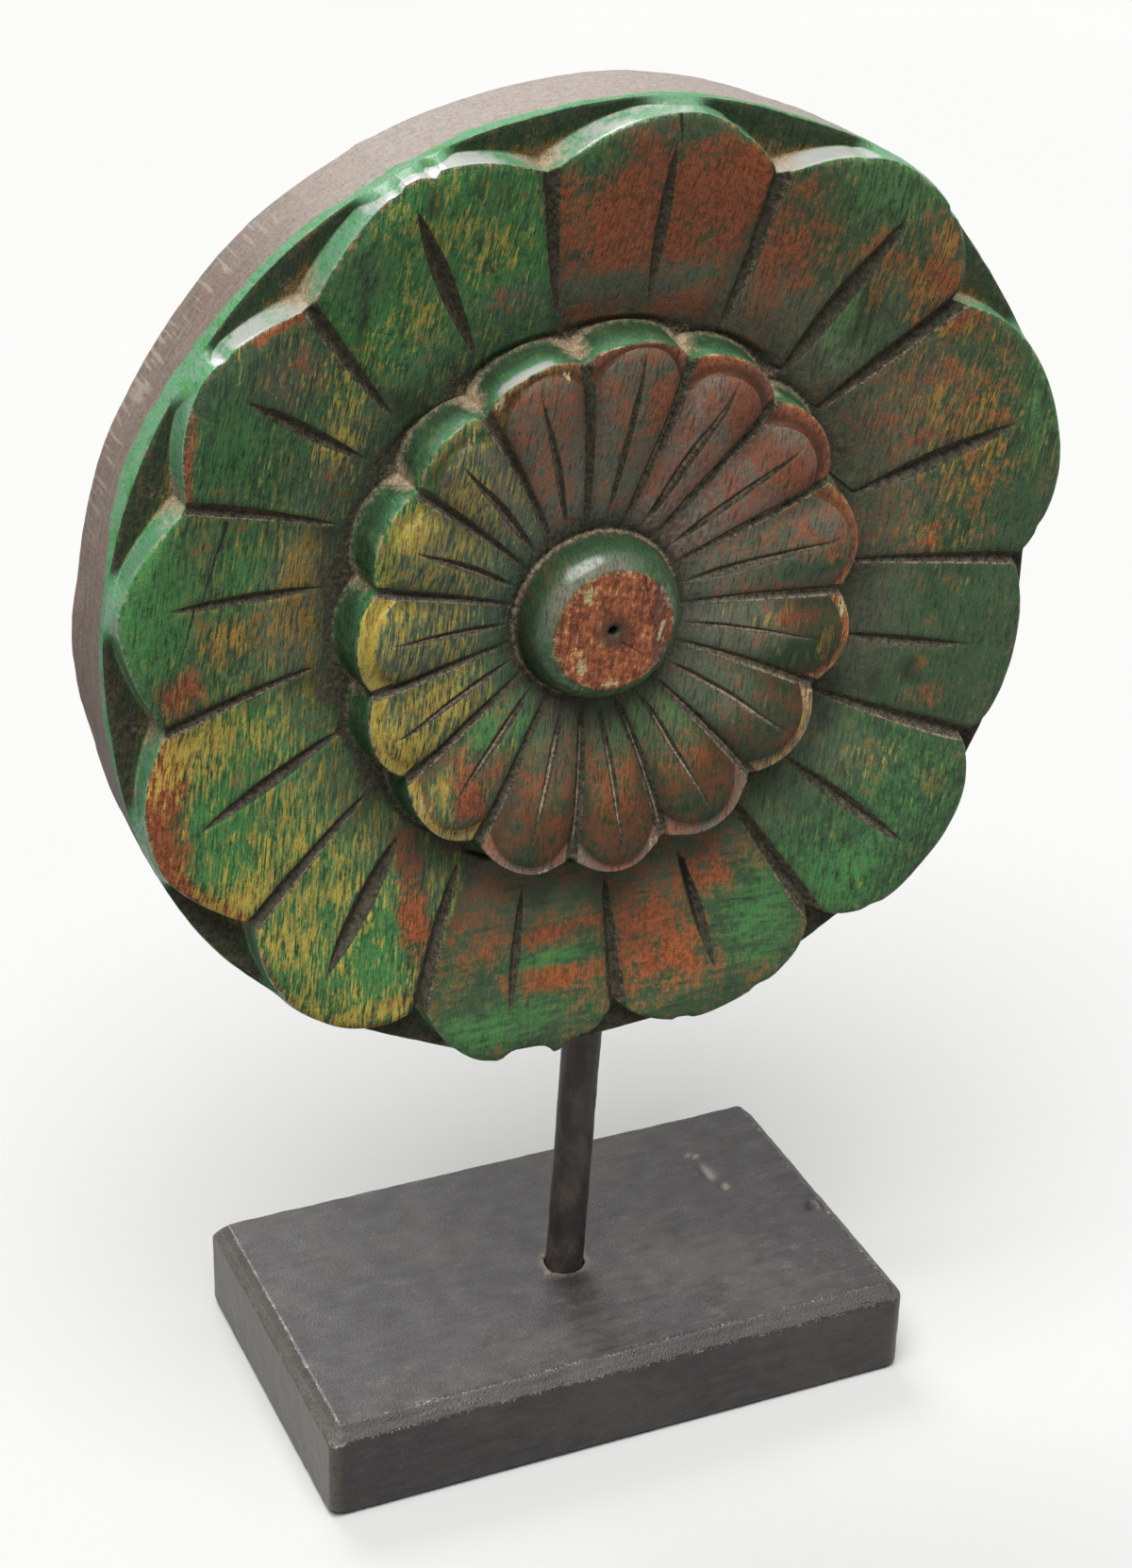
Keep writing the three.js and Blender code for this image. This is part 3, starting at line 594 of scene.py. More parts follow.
def painted_faces(g, f, colours):
    """The three coats, with open pores, dark runs, grime and the painted shade of the shade mark over them.
    """
    pore_dark, run_dark = (0.008, 0.011, 0.007), (0.014, 0.018, 0.011)
    grime_dark, shade_dark = (0.026, 0.027, 0.019), (0.013, 0.013, 0.009)
    red = f.spots * 0.66 + f.run * 0.22 + f.fine * 0.22 + f.small * 0.40 + f.grit * 0.16
    ochre = f.run * 0.52 + f.fine * 0.50 + f.small * 0.36 - f.spots * 0.30 + f.grit * 0.10
    colour = worn_green(g, f, colours)
    colour = g.mix(coat_share(f.red, red, 0.34) * 0.90, colour, worn_red(g, f, colours))
    colour = g.mix(coat_share(f.ochre, ochre, 0.22) * 0.90, colour, worn_ochre(g, f, colours))
    colour = g.mix(f.pore * (0.62 - f.level * 0.36), colour, pore_dark)
    colour = g.mix(f.run.rise(-0.30, -0.62) * 0.42, colour, run_dark)
    grime = (f.broad * 0.4 + f.mottle * 0.4 + f.patch * 0.2).rise(0.44, 0.60)
    colour = g.mix(grime * 0.30, colour, grime_dark)
    # Painted shade by the cuts and in the hollows, with the scars that the same mark holds.
    uneven = 1.0 + f.fine * 0.9 + f.small * 0.8 + f.grit * 0.4
    return g.mix(((f.shade * 1.25 - 0.1) * uneven).held() * 0.76, colour, shade_dark)


def upright_edges(g, f, colours):
    """Chalky pale green on the upright edges, very pale where they carry the painted highlight."""
    pale, brown, highlight_white = (0.095, 0.135, 0.100), (0.060, 0.045, 0.034), (0.205, 0.212, 0.196)
    chalk = g.mix((f.small + f.grit * 0.4).rise(-0.3, 0.5), tuple(colours.pale_green), pale)
    chalk = g.mix((f.run - f.spots).rise(0.10, 0.60) * 0.7, chalk, tuple(colours.bright_green))
    chalk = g.mix((f.fine + f.small + f.glaze).rise(-0.15, -0.75) * 0.45, chalk, brown)
    # A painted highlight: very pale where the edge looks towards the light.
    return g.mix((f.glaze * 1.6 - 0.4 + f.spots * 0.5 + f.small * 0.3).rise(0.30, 0.85), chalk, highlight_white)


def boss_flat(g, f):
    """Worn flat top of the boss: brick red, straw flecks to the left and plum to the right."""
    dark_brick, brick, straw = (0.085, 0.028, 0.015), (0.245, 0.080, 0.034), (0.300, 0.235, 0.095)
    plum, streak, dirt = (0.060, 0.030, 0.028), (0.050, 0.022, 0.014), (0.030, 0.023, 0.016)
    flat = g.mix((f.small + f.grit * 0.5 + f.run * 0.4).rise(-0.45, 0.45), dark_brick, brick)
    fleck = (f.run * 0.6 + f.small + f.fine * 0.4).rise(0.42, 0.58)
    flat = g.mix(fleck * (0.9 - f.across.rise(-8.0, 6.0) * 0.5), flat, straw)
    flat = g.mix(f.across.rise(7.0, 8.5) * f.patch.rise(0.42, 0.5) * 0.8, flat, plum)
    flat = g.mix(f.run.rise(0.1, -0.5) * 0.45, flat, streak)
    dirty = (f.pore * 0.35).most((f.shade * (1.1 + f.small + f.grit)).held() * 0.85)
    return g.mix(dirty, flat, dirt)


def cream_flakes(g, f, colour):
    """Broken cream flakes on the level faces."""
    straw, cream = (0.190, 0.150, 0.070), (0.310, 0.270, 0.150)
    broken = (f.glaze * 1.1 + f.small * 0.6 + f.run * 0.6 + f.fine * 0.5).rise(0.62, 0.86)
    share = broken * f.glaze.rise(0.0, 0.3) * (1.0 - f.wall * 4.0).held()
    return g.mix(share, colour, g.mix(f.grit.rise(-0.3, 0.5), straw, cream))


def bare_side(g, f, colours):
    """Bare wood of the rim and the back, made paler towards the top by painted light, with saw marks on the
    rim's left.
    """
    pink, pale = (0.110, 0.064, 0.050), (0.180, 0.158, 0.142)
    sawn, pore_brown = (0.190, 0.165, 0.135), (0.040, 0.030, 0.024)
    tone = (f.lathe * 0.6 + f.mottle * 0.4).rise(0.32, 0.66)
    side = g.mix(tone, toned(colours.wood, 0.66), toned(colours.wood, 1.14))
    side = g.mix(f.spots.rise(0.0, 0.45) * 0.5, side, pink)
    # Painted light: the wood is paler towards the top of the rim.
    side = g.mix(f.up.rise(76.0, 106.0) * (0.75 + f.small * 0.5), side, pale)
    saw = g.noise(f.round_place, (1.0, 16.0, 9.0), 0.0, 0.5, 7.7).rise(0.57, 0.72)
    groups = g.math("COSINE", (f.turn + 108.0) * (1.0 / 40.0)).rise(0.2, 0.9)
    saw = saw * groups * (f.turn + 190.0).rise(0.0, 20.0) * (f.turn + 30.0).rise(0.0, -20.0)
    saw = saw * f.behind.rise(-13.0, -8.0) * (1.0 - f.back)
    side = g.mix(saw * 0.55, side, sawn)
    return g.mix(f.pore * 0.2, side, pore_brown)


def dirt_and_dust(g, f, colour):
    """Dirt in the cuts, paler on the flank that faces the light and the dust (dust with painted light), and
    sandy dust in the corners.
    """
    black, brown = (0.018, 0.017, 0.011), (0.048, 0.042, 0.029)
    drab, pale = (0.050, 0.044, 0.030), (0.118, 0.104, 0.076)
    tan, sand = (0.120, 0.090, 0.056), (0.245, 0.185, 0.118)
    dirt = g.mix(f.mottled, black, brown)
    dusty = g.mix((f.fine + f.grit * 0.7).rise(-0.5, 0.5), drab, pale)
    # Paler on the side of each cut that faces the light: painted light, with the dust that settles there.
    dirt = g.mix((f.flank * 3.0 - 2.3 + f.small * 0.6 + f.grit * 0.5).held() * 0.85, dirt, dusty)
    colour = g.mix((f.cut + f.small * 0.14 * f.cut).rise(0.30, 0.60), colour, dirt)
    share = (f.dust * 1.5 + f.small * 0.4 + f.grit * 0.3 - 0.25).held() * f.dust.rise(0.0, 0.2)
    return g.mix(share, colour, g.mix((f.grit + f.small).rise(-0.6, 0.6), tan, sand))


def worn_lips(g, f, colour):
    """Lips rubbed through to orange and bare wood, with dark specks."""
    orange, wood, dark = (0.230, 0.095, 0.028), (0.300, 0.250, 0.160), (0.028, 0.018, 0.012)
    worn = g.mix(f.small.rise(-0.2, 0.2), orange, wood)
    worn = g.mix(f.speck.rise(0.55, 0.62), worn, dark)
    return g.mix(f.lip * (f.spots * 0.5 + f.small * 0.7).rise(-0.05, 0.25) * 0.80, colour, worn)


def splits(g, f):
    """Where the splits and slips of the knife run over the face."""
    face = g.point(f.across + f.small * 0.5, 0.0, f.up)
    marks = None
    for x0, z0, x1, z1, width in SPLITS:
        start, way = Vector((x0, 0.0, z0)), Vector((x1 - x0, 0.0, z1 - z0))
        dot = g.vector("DOT_PRODUCT", face, way / way.length_squared, out=1)
        settings = {"operation": "SUBTRACT", "use_clamp": True}
        share = g.node("ShaderNodeMath", settings, {0: dot, 1: start.dot(way) / way.length_squared})
        gap = g.vector("DISTANCE", face, g.vector("MULTIPLY_ADD", share, way, start), out=1)
        mark = (gap + share * (width * 0.4)).rise(width * 0.66, width * 0.30)
        marks = mark if marks is None else marks.most(mark)
    return marks * (1.0 - f.bare).rise(0.5, 1.0) * (1.0 - f.wall)


def painted_wood(colours):
    """Green paint rubbed back to red and ochre coats, with dirt in the cuts and bare wood on the rim."""
    crack_dark = (0.009, 0.008, 0.006)
    g = Finish("worn_painted_wood")
    f = PaintFields(g)
    colour = painted_faces(g, f, colours)
    colour = g.mix(f.wall, colour, upright_edges(g, f, colours))
    colour = g.mix(f.top, colour, boss_flat(g, f))
    colour = cream_flakes(g, f, colour)
    ragged = f.bare + (f.lathe - 0.5) * 2.4 * f.bare * (1.0 - f.bare) * 4.0 + f.small * 0.3 * (1.0 - f.bare)
    colour = g.mix(ragged.rise(0.34, 0.66), colour, bare_side(g, f, colours))
    colour = worn_lips(g, f, dirt_and_dust(g, f, colour))
    colour = g.mix(splits(g, f) * 0.88, colour, crack_dark)
    rough = 0.46 + f.mottle * 0.16 + f.cut * 0.22 + f.dust * 0.30 + f.bare * 0.10 - f.gloss * 0.14
    height = f.fibre * 1.0 + f.mottle * 1.2 + f.speck * 0.35 + f.mottle * f.cut * 0.6
    coat = (f.gloss * (0.75 + f.small * 0.8) - f.cut * 0.8 - f.dust - f.pore * 0.2).held()
    return g.finish(colour, rough.held(), height, 0.21, specular=0.07, coat=coat)


def stained_wood(colours):
    """Black-brown stain, rubbed along the edges, with fine grain along the block."""
    clouded, end_brown, rubbed_brown = (0.040, 0.033, 0.025), (0.062, 0.053, 0.038), (0.046, 0.041, 0.034)
    bare, scraped = (0.21, 0.175, 0.125), (0.20, 0.16, 0.11)
    crease, hollow = (0.008, 0.007, 0.006), (0.004, 0.003, 0.003)
    g = Finish("worn_stained_wood")
    place = g.place()
    end = abs(g.parts(place)[0]).rise(72.0, 75.0)
    edge, mark, hole, line = g.channels("wear")
    grain = g.noise(place, (22.0, 0.8, 0.8), 4.0, 0.6)
    speck = g.noise(place, 0.55, 2.0, 0.7, 2.0)
    mottle = g.noise(place, (5.0, 3.0, 3.0), 4.0, 0.6, 6.0)
    cloud = g.noise(place, 30.0, 3.0, 0.6, 8.0)
    rub = (grain * 0.3 + speck * 0.4 + mottle * 0.3).rise(0.38, 0.62)
    colour = g.mix(rub, toned(colours.stain, 0.62), toned(colours.stain, 1.45))
    colour = g.mix((cloud * 0.8 + mottle * 0.2).rise(0.46, 0.62) * 0.34, colour, clouded)
    colour = g.mix(end * (0.45 + (speck - 0.5) * 1.5), colour, end_brown)
    rubbed = (edge * 1.2 + (mottle - 0.5) * 1.0 + (speck - 0.5) * 1.6).rise(0.5, 1.1)
    colour = g.mix(rubbed * 0.20, colour, rubbed_brown)
    fleck = (speck * 0.6 + mottle * 0.4 + line * 0.10).rise(0.60, 0.68)
    colour = g.mix(fleck * (0.14 + line * 0.80), colour, bare)
    colour = g.mix(line * (0.62 - speck).rise(0.0, 0.2) * 0.5, colour, crease)
    colour = g.mix((mark * (0.3 + speck * 1.2)).held(), colour, scraped)
    colour = g.mix(hole, colour, hollow)
    rough = 0.25 + mottle * 0.12 + speck * 0.10 + rubbed * 0.30 + mark * 0.2 + hole * 0.4
    height = grain * 0.30 + speck * 0.30 + mottle * 0.12 + edge * speck * 1.2
    return g.finish(colour, rough.held(), height, 0.22, specular=0.38)


def dark_iron(colours):
    """Forged iron with a brown-black skin and a thin bloom of rust."""
    rust_brown = (0.082, 0.042, 0.026)
    g = Finish("dark_iron")
    place = g.place()
    pit = g.noise(place, 1.1, 3.0, 0.65)
    scale = g.noise(place, (4.0, 4.0, 9.0), 4.0, 0.6, 3.0)
    draw = g.noise(place, (0.5, 0.5, 22.0), 2.0, 0.5, 5.0)
    colour = g.mix(scale.rise(0.38, 0.62), toned(colours.iron, 0.8), toned(colours.iron, 1.5))
    rust = (scale * 0.6 + pit * 0.4).rise(0.52, 0.66)
    colour = g.mix(rust * 0.55, colour, rust_brown)
    rough = 0.42 + pit * 0.2 + rust * 0.2
    height = pit * 0.6 + draw * 0.4 + scale * 0.4
    return g.finish(colour, rough.held(), height, 0.25, specular=0.5, metal=0.35)


def floor_finish(props):
    """Pale matt floor with a faint unevenness of tone."""
    g = Finish("pale_floor")
    tone = g.noise(g.place(), 260.0, 3.0, 0.5)
    colour = g.mix(tone.rise(0.3, 0.7), toned(props.floor, 0.985), tuple(props.floor))
    return g.finish(colour, 0.8, tone, 0.05, specular=0.0)


# Shapes of the carving, worked out with numpy.


class Grain:
    """Smooth seeded noise in numpy, from -1 to 1, with a size in millimetres."""

    def __init__(self, seed):
        self.table = np.random.RandomState(seed).uniform(-1.0, 1.0, (64, 64, 64))

    def at(self, x, y, z, size):
        spots = [np.asarray(v, float) / size + 17.3 for v in np.broadcast_arrays(x, y, z)]
        low = [np.floor(s).astype(int) for s in spots]
        part = [s - b for s, b in zip(spots, low)]
        part = [p * p * (3 - 2 * p) for p in part]
        total = 0.0
        for corner in range(8):
            bits = [(corner >> k) & 1 for k in range(3)]
            weight = 1.0
            for bit, p in zip(bits, part):
                weight = weight * (p if bit else 1 - p)
            total = total + weight * self.table[tuple((b + bit) % 64 for b, bit in zip(low, bits))]
        return total


def smooth(value, low, high):
    """Smooth step from 0 at low to 1 at high."""
    t = np.clip((value - low) / (high - low), 0, 1)
    return t * t * (3 - 2 * t)


def looks(angle, way):
    """1 where the disc's edge looks that way, -1 where it looks the other way."""
    return np.cos(np.radians(angle - way))


def away(angle, middle):
    """Degrees from a middle angle, the short way round; negative before it."""
    return np.mod(angle - middle + 180.0, 360.0) - 180.0


def face_point(angle, r):
    """Across and up from the disc's centre."""
    return r * np.sin(np.radians(angle)), r * np.cos(np.radians(angle))


def petal_of(angle, starts):
    """Index of the petal that holds each angle, the folded angle, and the petal's two valleys."""
    folded = starts[0] + np.mod(angle - starts[0], 360.0)
    index = np.searchsorted(starts, folded, side="right") - 1
    ends = np.append(starts[1:], starts[0] + 360.0)
    return index, folded, starts[index], ends[index]


def petal_side(angle, starts):
    """Index of the petal that holds each angle, and how far to its side that is, -1 and 1 in the valleys."""
    index, folded, start, end = petal_of(angle, starts)
    return index, 2 * (folded - start) / (end - start) - 1


def outer_halves(angle):
    """Whether each angle comes before its outer petal's tip, the share of the way up to the tip, the row of
    the petal, and the row that holds the nearer valley."""
    index, folded, start, end = petal_of(angle, OUTER[:, 0])
    row = OUTER[index]
    before = folded < row[..., 2]
    up = np.where(before, (folded - start) / (row[..., 2] - start), (end - folded) / (end - row[..., 2]))
    return before, up, row, np.where(before[..., None], row, OUTER[(index + 1) % len(OUTER)])


def outer_edge(angle):
    """Scalloped lip of the outer petals, with its chips."""
    before, up, row, near = outer_halves(angle)
    full = np.where(before, row[..., 4], row[..., 5])
    edge = near[..., 1] + (row[..., 3] - near[..., 1]) * (1 - (1 - np.clip(up, 0, 1)) ** full)
    for middle, half, depth in CHIPS:
        edge = edge - depth * np.clip(1 - (away(angle, middle) / half) ** 4, 0, 1)
    return edge


def outer_rim(angle):
    """Rim of the disc behind the petals."""
    _, up, row, near = outer_halves(angle)
    free = near[..., 6] + (row[..., 7] - near[..., 6]) * smooth(up, 0, 1)
    return np.maximum(free, outer_edge(angle) + WALL_DRAFT + RIM_CLEAR)


def is_low(k):
    """Whether an inner petal is one of the lowest five, whose faces are darker towards their tips."""
    return (k > 3) & (k < 9)


def inner_edge(angle):
    """Scalloped edge of the inner flower."""
    _, side = petal_side(angle, INNER)
    oval = INNER_OVAL * np.cos(2 * np.radians(angle))
    return INNER_VALLEY_R + oval + INNER_TIP_OUT * (1 - np.abs(side) ** INNER_ROUND)


def facing(angle, edge, way, low, high):
    """How far an upright edge looks a given way, across and up: 0 below low, 1 above high."""
    turn = np.radians(angle)
    slope = np.gradient(edge, turn)
    across = edge * np.sin(turn) - slope * np.cos(turn)
    up = edge * np.cos(turn) + slope * np.sin(turn)
    return smooth((across * way[0] + up * way[1]) / np.hypot(edge, slope), low, high)


def bowl(r):
    """Height of the outer petals' faces, which rise from the trench to the lip."""
    share = np.clip((r - TRENCH_R) / (LIP_R - TRENCH_R), 0, 1)
    return TRENCH_Z + (LIP_Z - TRENCH_Z) * share ** BOWL_CURVE


def stations(start, end, middle, r, widths, counts):
    """Angles across one petal, how deep each stands in the two valleys and in the middle cut (0 to 1), and
    which way the side of its cut leans: 1 clockwise, -1 the other way, 0 on the face.

    The widths are those of the left valley, the middle cut and the right valley."""
    half_left, half_cut, half_right = (math.degrees(w / 2 / r) for w in widths)
    valleys, faces, cuts = (np.arange(n) / n for n in counts)
    zero_valley, zero_face, zero_cut = (np.zeros(n) for n in counts)
    angle = np.concatenate([
        start + half_left * valleys,
        start + half_left + (middle - half_cut - start - half_left) * faces,
        middle - half_cut + half_cut * cuts,
        middle + half_cut * cuts,
        middle + half_cut + (end - half_right - middle - half_cut) * faces,
        end - half_right + half_right * valleys,
    ])
    lean = np.concatenate([
        zero_valley - 1, zero_face, zero_cut + 1, zero_cut - 1, zero_face, zero_valley + 1,
    ])
    left = np.concatenate([1 - valleys, zero_face, zero_cut, zero_cut, zero_face, zero_valley])
    right = np.concatenate([zero_valley, zero_face, zero_cut, zero_cut, zero_face, valleys])
    cut = np.concatenate([zero_valley, zero_face, cuts, 1 - cuts, zero_face, zero_valley])
    return angle, left, right, cut, lean


class Carving:
    """Works out where each ring and sector of the turned blank goes, with its paint and wear."""

    def __init__(self, props):
        self.p = props
        self.grain = Grain(props.seed)
        self.rings = []

    def add(self, angle, r, z, centre=(0.0, 0.0), **marks):
        """One ring of the skin; marks are the numbers of the paint and wear attributes."""
        shape = np.zeros(SECTORS)
        ring = {"angle": angle, "r": r, "z": z, "centre_x": centre[0], "centre_z": centre[1]}
        for key in sum(MARKS.values(), ()):
            ring[key] = marks.get(key, 0.0)
        self.rings.append({key: shape + value for key, value in ring.items()})

    def uneven(self, count, step, row, nominal, size, share):
        """Factors about 1 for the widths of a ring's cuts."""
        return 1 + share * self.grain.at(np.arange(count) * step, row, nominal, size)

    def outer_stations(self, share):
        """Stations of the outer petals at a share of the way from the trench to the lip."""
        nominal = TRENCH_R + (LIP_R - TRENCH_R) * share
        at_valley = TRENCH_R + (OUTER[:, 1] - TRENCH_R) * share
        at_middle = TRENCH_R + (outer_edge(OUTER[:, 9]) - TRENCH_R) * share
        out = np.clip((at_valley - VALLEY[:, 1]) / (OUTER[:, 1] - 2.0 - VALLEY[:, 1]), 0, 1) ** 0.45
        along = np.clip((at_middle - MIDDLE[:, 1]) / (MIDDLE[:, 2] - MIDDLE[:, 1]), 0, 1)
        spindle = np.sin(np.pi * along) ** 0.7
        count = len(OUTER)
        valley = VALLEY[:, 0] * out * self.uneven(count, 5.7, 3.0, nominal, 9.0, 0.10)
        middle = MIDDLE[:, 0] * spindle * self.uneven(count, 5.7, 31.0, nominal, 7.0, 0.12)
        wander = 0.3 * self.grain.at(np.arange(count) * 9.1, 0.0, nominal, 14.0)
        starts = OUTER[:, 0] + OUTER[:, 8] * (1 - share)
        middles = OUTER[:, 9] + OUTER[:, 10] * (1 - share) + wander
        return self.petal_stations(starts, middles, nominal, valley, middle, OUTER_COUNTS)

    def inner_stations(self, share):
        """Stations of the inner petals at a share of the way from the hub to their valleys' ends."""
        nominal = HUB_R + (INNER_VALLEY_R - HUB_R) * share
        spindle = np.sin(np.pi * np.clip(share / INNER_CUT_END, 0, 1) ** 0.8) ** 0.75
        count = len(INNER)
        valley = (1.4 + 1.6 * share ** 0.7) * self.uneven(count, 4.4, 90.0, nominal, 8.0, 0.12)
        middle = INNER_CUT * spindle * self.uneven(count, 3.3, 70.0, nominal, 6.0, 0.15)
        wander = 0.5 * self.grain.at(np.arange(count) * 7.7, 50.0, nominal, 10.0)
        middles = (INNER + np.append(INNER[1:], INNER[0] + 360.0)) / 2 + wander
        return self.petal_stations(INNER, middles, nominal, valley, middle, INNER_COUNTS)

    def petal_stations(self, starts, middles, nominal, valley, middle, counts):
        """Stations of one whole ring: angles, shares of the valleys and of the middle cuts (0 to 1), their
        depths in millimetres, and how far their sides look to where the painted light and the dust come
        from."""
        parts = []
        ends = np.append(starts[1:], starts[0] + 360.0)
        for k, (start, end) in enumerate(zip(starts, ends)):
            after = (k + 1) % len(starts)
            widths = np.array([valley[k], middle[k], valley[after]]) * self.p.cut_width + 0.25
            angle, left, right, cut, lean = stations(start, end, middles[k], nominal, widths, counts)
            depth = np.maximum(left * valley[k], right * valley[after]) * self.p.cut_depth
            faint = np.clip(np.where(left > 0, valley[k], valley[after]) / 1.5, 0, 1)
            slim = np.clip(middle[k] / 1.2, 0, 1)
            # Which way each side of a cut faces, for its painted light and its dust.
            across, up = LIGHT_AND_DUST_FROM
            flank = lean * (np.cos(np.radians(angle)) * across - np.sin(np.radians(angle)) * up)
            parts.append((angle, np.maximum(left, right) * faint, cut * slim, depth,
                          cut * middle[k] * self.p.cut_depth, 0.5 + 0.5 * flank))
        return tuple(np.concatenate(v) for v in zip(*parts))

    def rough(self, angle, r, fine=1.0):
        """Unevenness left by the tools; fine is the share of its closer marks."""
        x, y = face_point(angle, r)
        coarse = self.grain.at(x, y, 3.0, 11.0)
        close = self.grain.at(x, y, 60.0, 3.1)
        return self.p.roughness * (coarse + 0.55 * fine * close)

    def inner_lip(self, angle):
        """Edge of the inner flower, uneven as the tools left it."""
        return inner_edge(angle) + 0.25 * self.rough(angle, 58.0)

    def outer_lip(self, angle):
        """The same for the lip of the outer petals."""
        return outer_edge(angle) + 0.35 * self.rough(angle, 108.0)

    def touched(self, marks, touches, angle, r):
        """Adds the touches of paint to four marks."""
        x, z = face_point(angle, r)
        for px, pz, half_x, half_z, *more in touches:
            near = np.exp(-(((x - px) / half_x) ** 2 + ((z - pz) / half_z) ** 2) ** 1.5)
            marks = [mark + near * extra for mark, extra in zip(marks, more)]
        return dict(zip(MARKS["paint"], marks))

    def outer_paint(self, angle, r, flat, inward):
        """Coats of paint on the outer petals; flat is 1 on the lips' worn flats, inward 1 at the trench."""
        k, _ = petal_side(angle, OUTER[:, 0])
        on_lip = smooth(flat, 0.0, 0.6)[:, None]
        red, ochre, bright, level = (OUTER_PAINT[k] * (1 - on_lip) + LIP_PAINT[k] * on_lip).T
        marks = self.touched([red, ochre, bright, 0.15 + 0.3 * inward], OUTER_TOUCHES, angle, r)
        return dict(marks, level=level, mauve=OUTER_ORANGE[k])

    def inner_paint(self, angle, r, on_crescent, share):
        """Coats of paint on the inner petals, at a share of the way out."""
        k, _ = petal_side(angle, INNER)
        inside, outside = INNER_PAINT[k, :4], INNER_PAINT[k, 4:]
        red, ochre, bright, veil = (inside * (1 - on_crescent) + outside * on_crescent).T
        hub = 1 - smooth(share, 0.0, 0.45)
        low_tip = (1 - on_crescent) * smooth(share, 0.45, 0.75) * is_low(k)
        veil = (veil + 0.15 * hub) * (1 - 0.7 * low_tip)
        marks = [red * (1 - 0.5 * hub), ochre * (1 - 0.7 * hub), bright, veil]
        return dict(self.touched(marks, INNER_TOUCHES, angle, r), mauve=INNER_MAUVE[k])

    def spread(self, angle, r, table):
        """Strength of the scars or flakes that such a table holds."""
        x, z = face_point(angle, r)
        total = 0.0
        for px, pz, half_x, half_z, strength in table:
            off = ((x - px - 0.1 * (z - pz)) / half_x) ** 2 + ((z - pz) / half_z) ** 4
            total = total + strength * np.exp(-off)
        return total

    def boss(self):
        """The boss, from the bottom of its hole over the worn flat and down its side."""
        centre = (BOSS_X, BOSS_Y)
        angle = np.arange(SECTORS) * 360.0 / SECTORS
        # The hole, and the dirt round it, which the shade mark holds and the flat shows as dirt.
        for r, z, cut, shade in (
                (0.0, BOSS_HOLE_Z, 1.0, 0.0), (BOSS_HOLE_R * 0.9, BOSS_HOLE_Z, 1.0, 0.0),
                (BOSS_HOLE_R, BOSS_TOP_Z - 0.7, 1.0, 0.0), (BOSS_HOLE_R + 0.5, BOSS_TOP_Z - 0.1, 0.4, 1.0)):
            self.add(angle, r, z, centre, cut=cut, top=1.0, shade=shade)
        for r in BOSS_FLAT_RINGS:
            self.add(angle, r, BOSS_TOP_Z + 0.5 * self.rough(angle, r + 3.0), centre, top=1.0,
                     shade=0.8 * (1 - smooth(r, 2.4, 5.4)), glaze=self.spread(angle, r, BOSS_FLAKES))
        wobble = 0.3 * self.grain.at(*face_point(angle, 9), 5.0, 5.0)
        self.add(angle, BOSS_TOP_R - 0.35 + wobble, BOSS_TOP_Z, centre, top=1.0, lip=0.5)
        self.add(angle, BOSS_TOP_R + wobble, BOSS_TOP_Z - 0.12, centre, top=0.6, lip=0.8)

        points = np.array(BOSS_SIDE)
        length = np.concatenate([[0], np.cumsum(np.hypot(*np.diff(points, axis=0).T))])
        # lit makes the upper left of the side, near the flat, grey-pink: a painted highlight. left makes the
        # side darker down the left towards its foot.
        left = 0.5 - 0.5 * np.sin(np.radians(angle + 20))
        lit = smooth(looks(angle, -32), 0.3, 0.9)
        for s in np.linspace(0.07, 1.0, 11):
            r, z = (np.interp(s * length[-1], length, points[:, i]) for i in (0, 1))
            r = r + 0.22 * math.sin(math.pi * s)
            out = wobble * (1 - s) + 0.6 * self.rough(angle, r, 0.4)
            self.add(angle, r + out, z - 0.25 * (1 - s) ** 3, centre,
                     red=0.12, bright=0.35 * (1 - s), cut=0.45 * smooth(s, 0.86, 1.0),
                     shade=0.85 * left * smooth(s, 0.12, 0.7), mauve=0.45 * lit,
                     veil=0.25 * (1 - s) * (1 - 0.8 * left) + 0.7 * lit * (1 - smooth(s, 0.15, 0.55)),
                     gloss=(0.75 - 0.15 * lit) * (1 - smooth(s, 0.5, 0.9)))

    def inner_flower(self):
        """The hub hollow and the inner petals, out over the crescents that cut back their tips."""
        centre = (BOSS_X, BOSS_Y)
        angle = self.inner_stations(0.0)[0]
        # The dust round the boss's foot is heavier towards the top: dust, with painted light from above.
        dusty = 0.62 + 0.22 * looks(angle, 20)
        self.add(angle, 19.4, HUB_Z - 0.5, centre, cut=0.7, flank=0.8, dust=0.70 * dusty)
        self.add(angle, 20.1, HUB_Z - 0.4, centre, cut=0.6, flank=0.5, dust=0.25 * dusty)
        # Rings run to the edge of the faces first, then over the crescents.
        for s in np.linspace(0.0, 1.0, 19):
            self.inner_ring(s, 0.0)
        for back in (0.03, 0.14, 0.30, 0.48, 0.66, 0.84, 1.0):
            self.inner_ring(1.0, back)

    def inner_ring(self, s, back):
        """One ring at a share of the way over the faces, then of the way over the crescents."""
        share = 0.92 * s + 0.08 * back
        angle, valley, cut, valley_depth, cut_depth, flank = self.inner_stations(share)
        k, side = petal_side(angle, INNER)
        across = np.abs(side)
        edge = self.inner_lip(angle)
        tip, corner = CRESCENT[k, 1], np.where(side < 0, CRESCENT[k, 0], CRESCENT[k, 2])
        width = tip + (corner - tip) * across ** 2.2
        r = HUB_R + (edge - width - HUB_R) * s + width * back

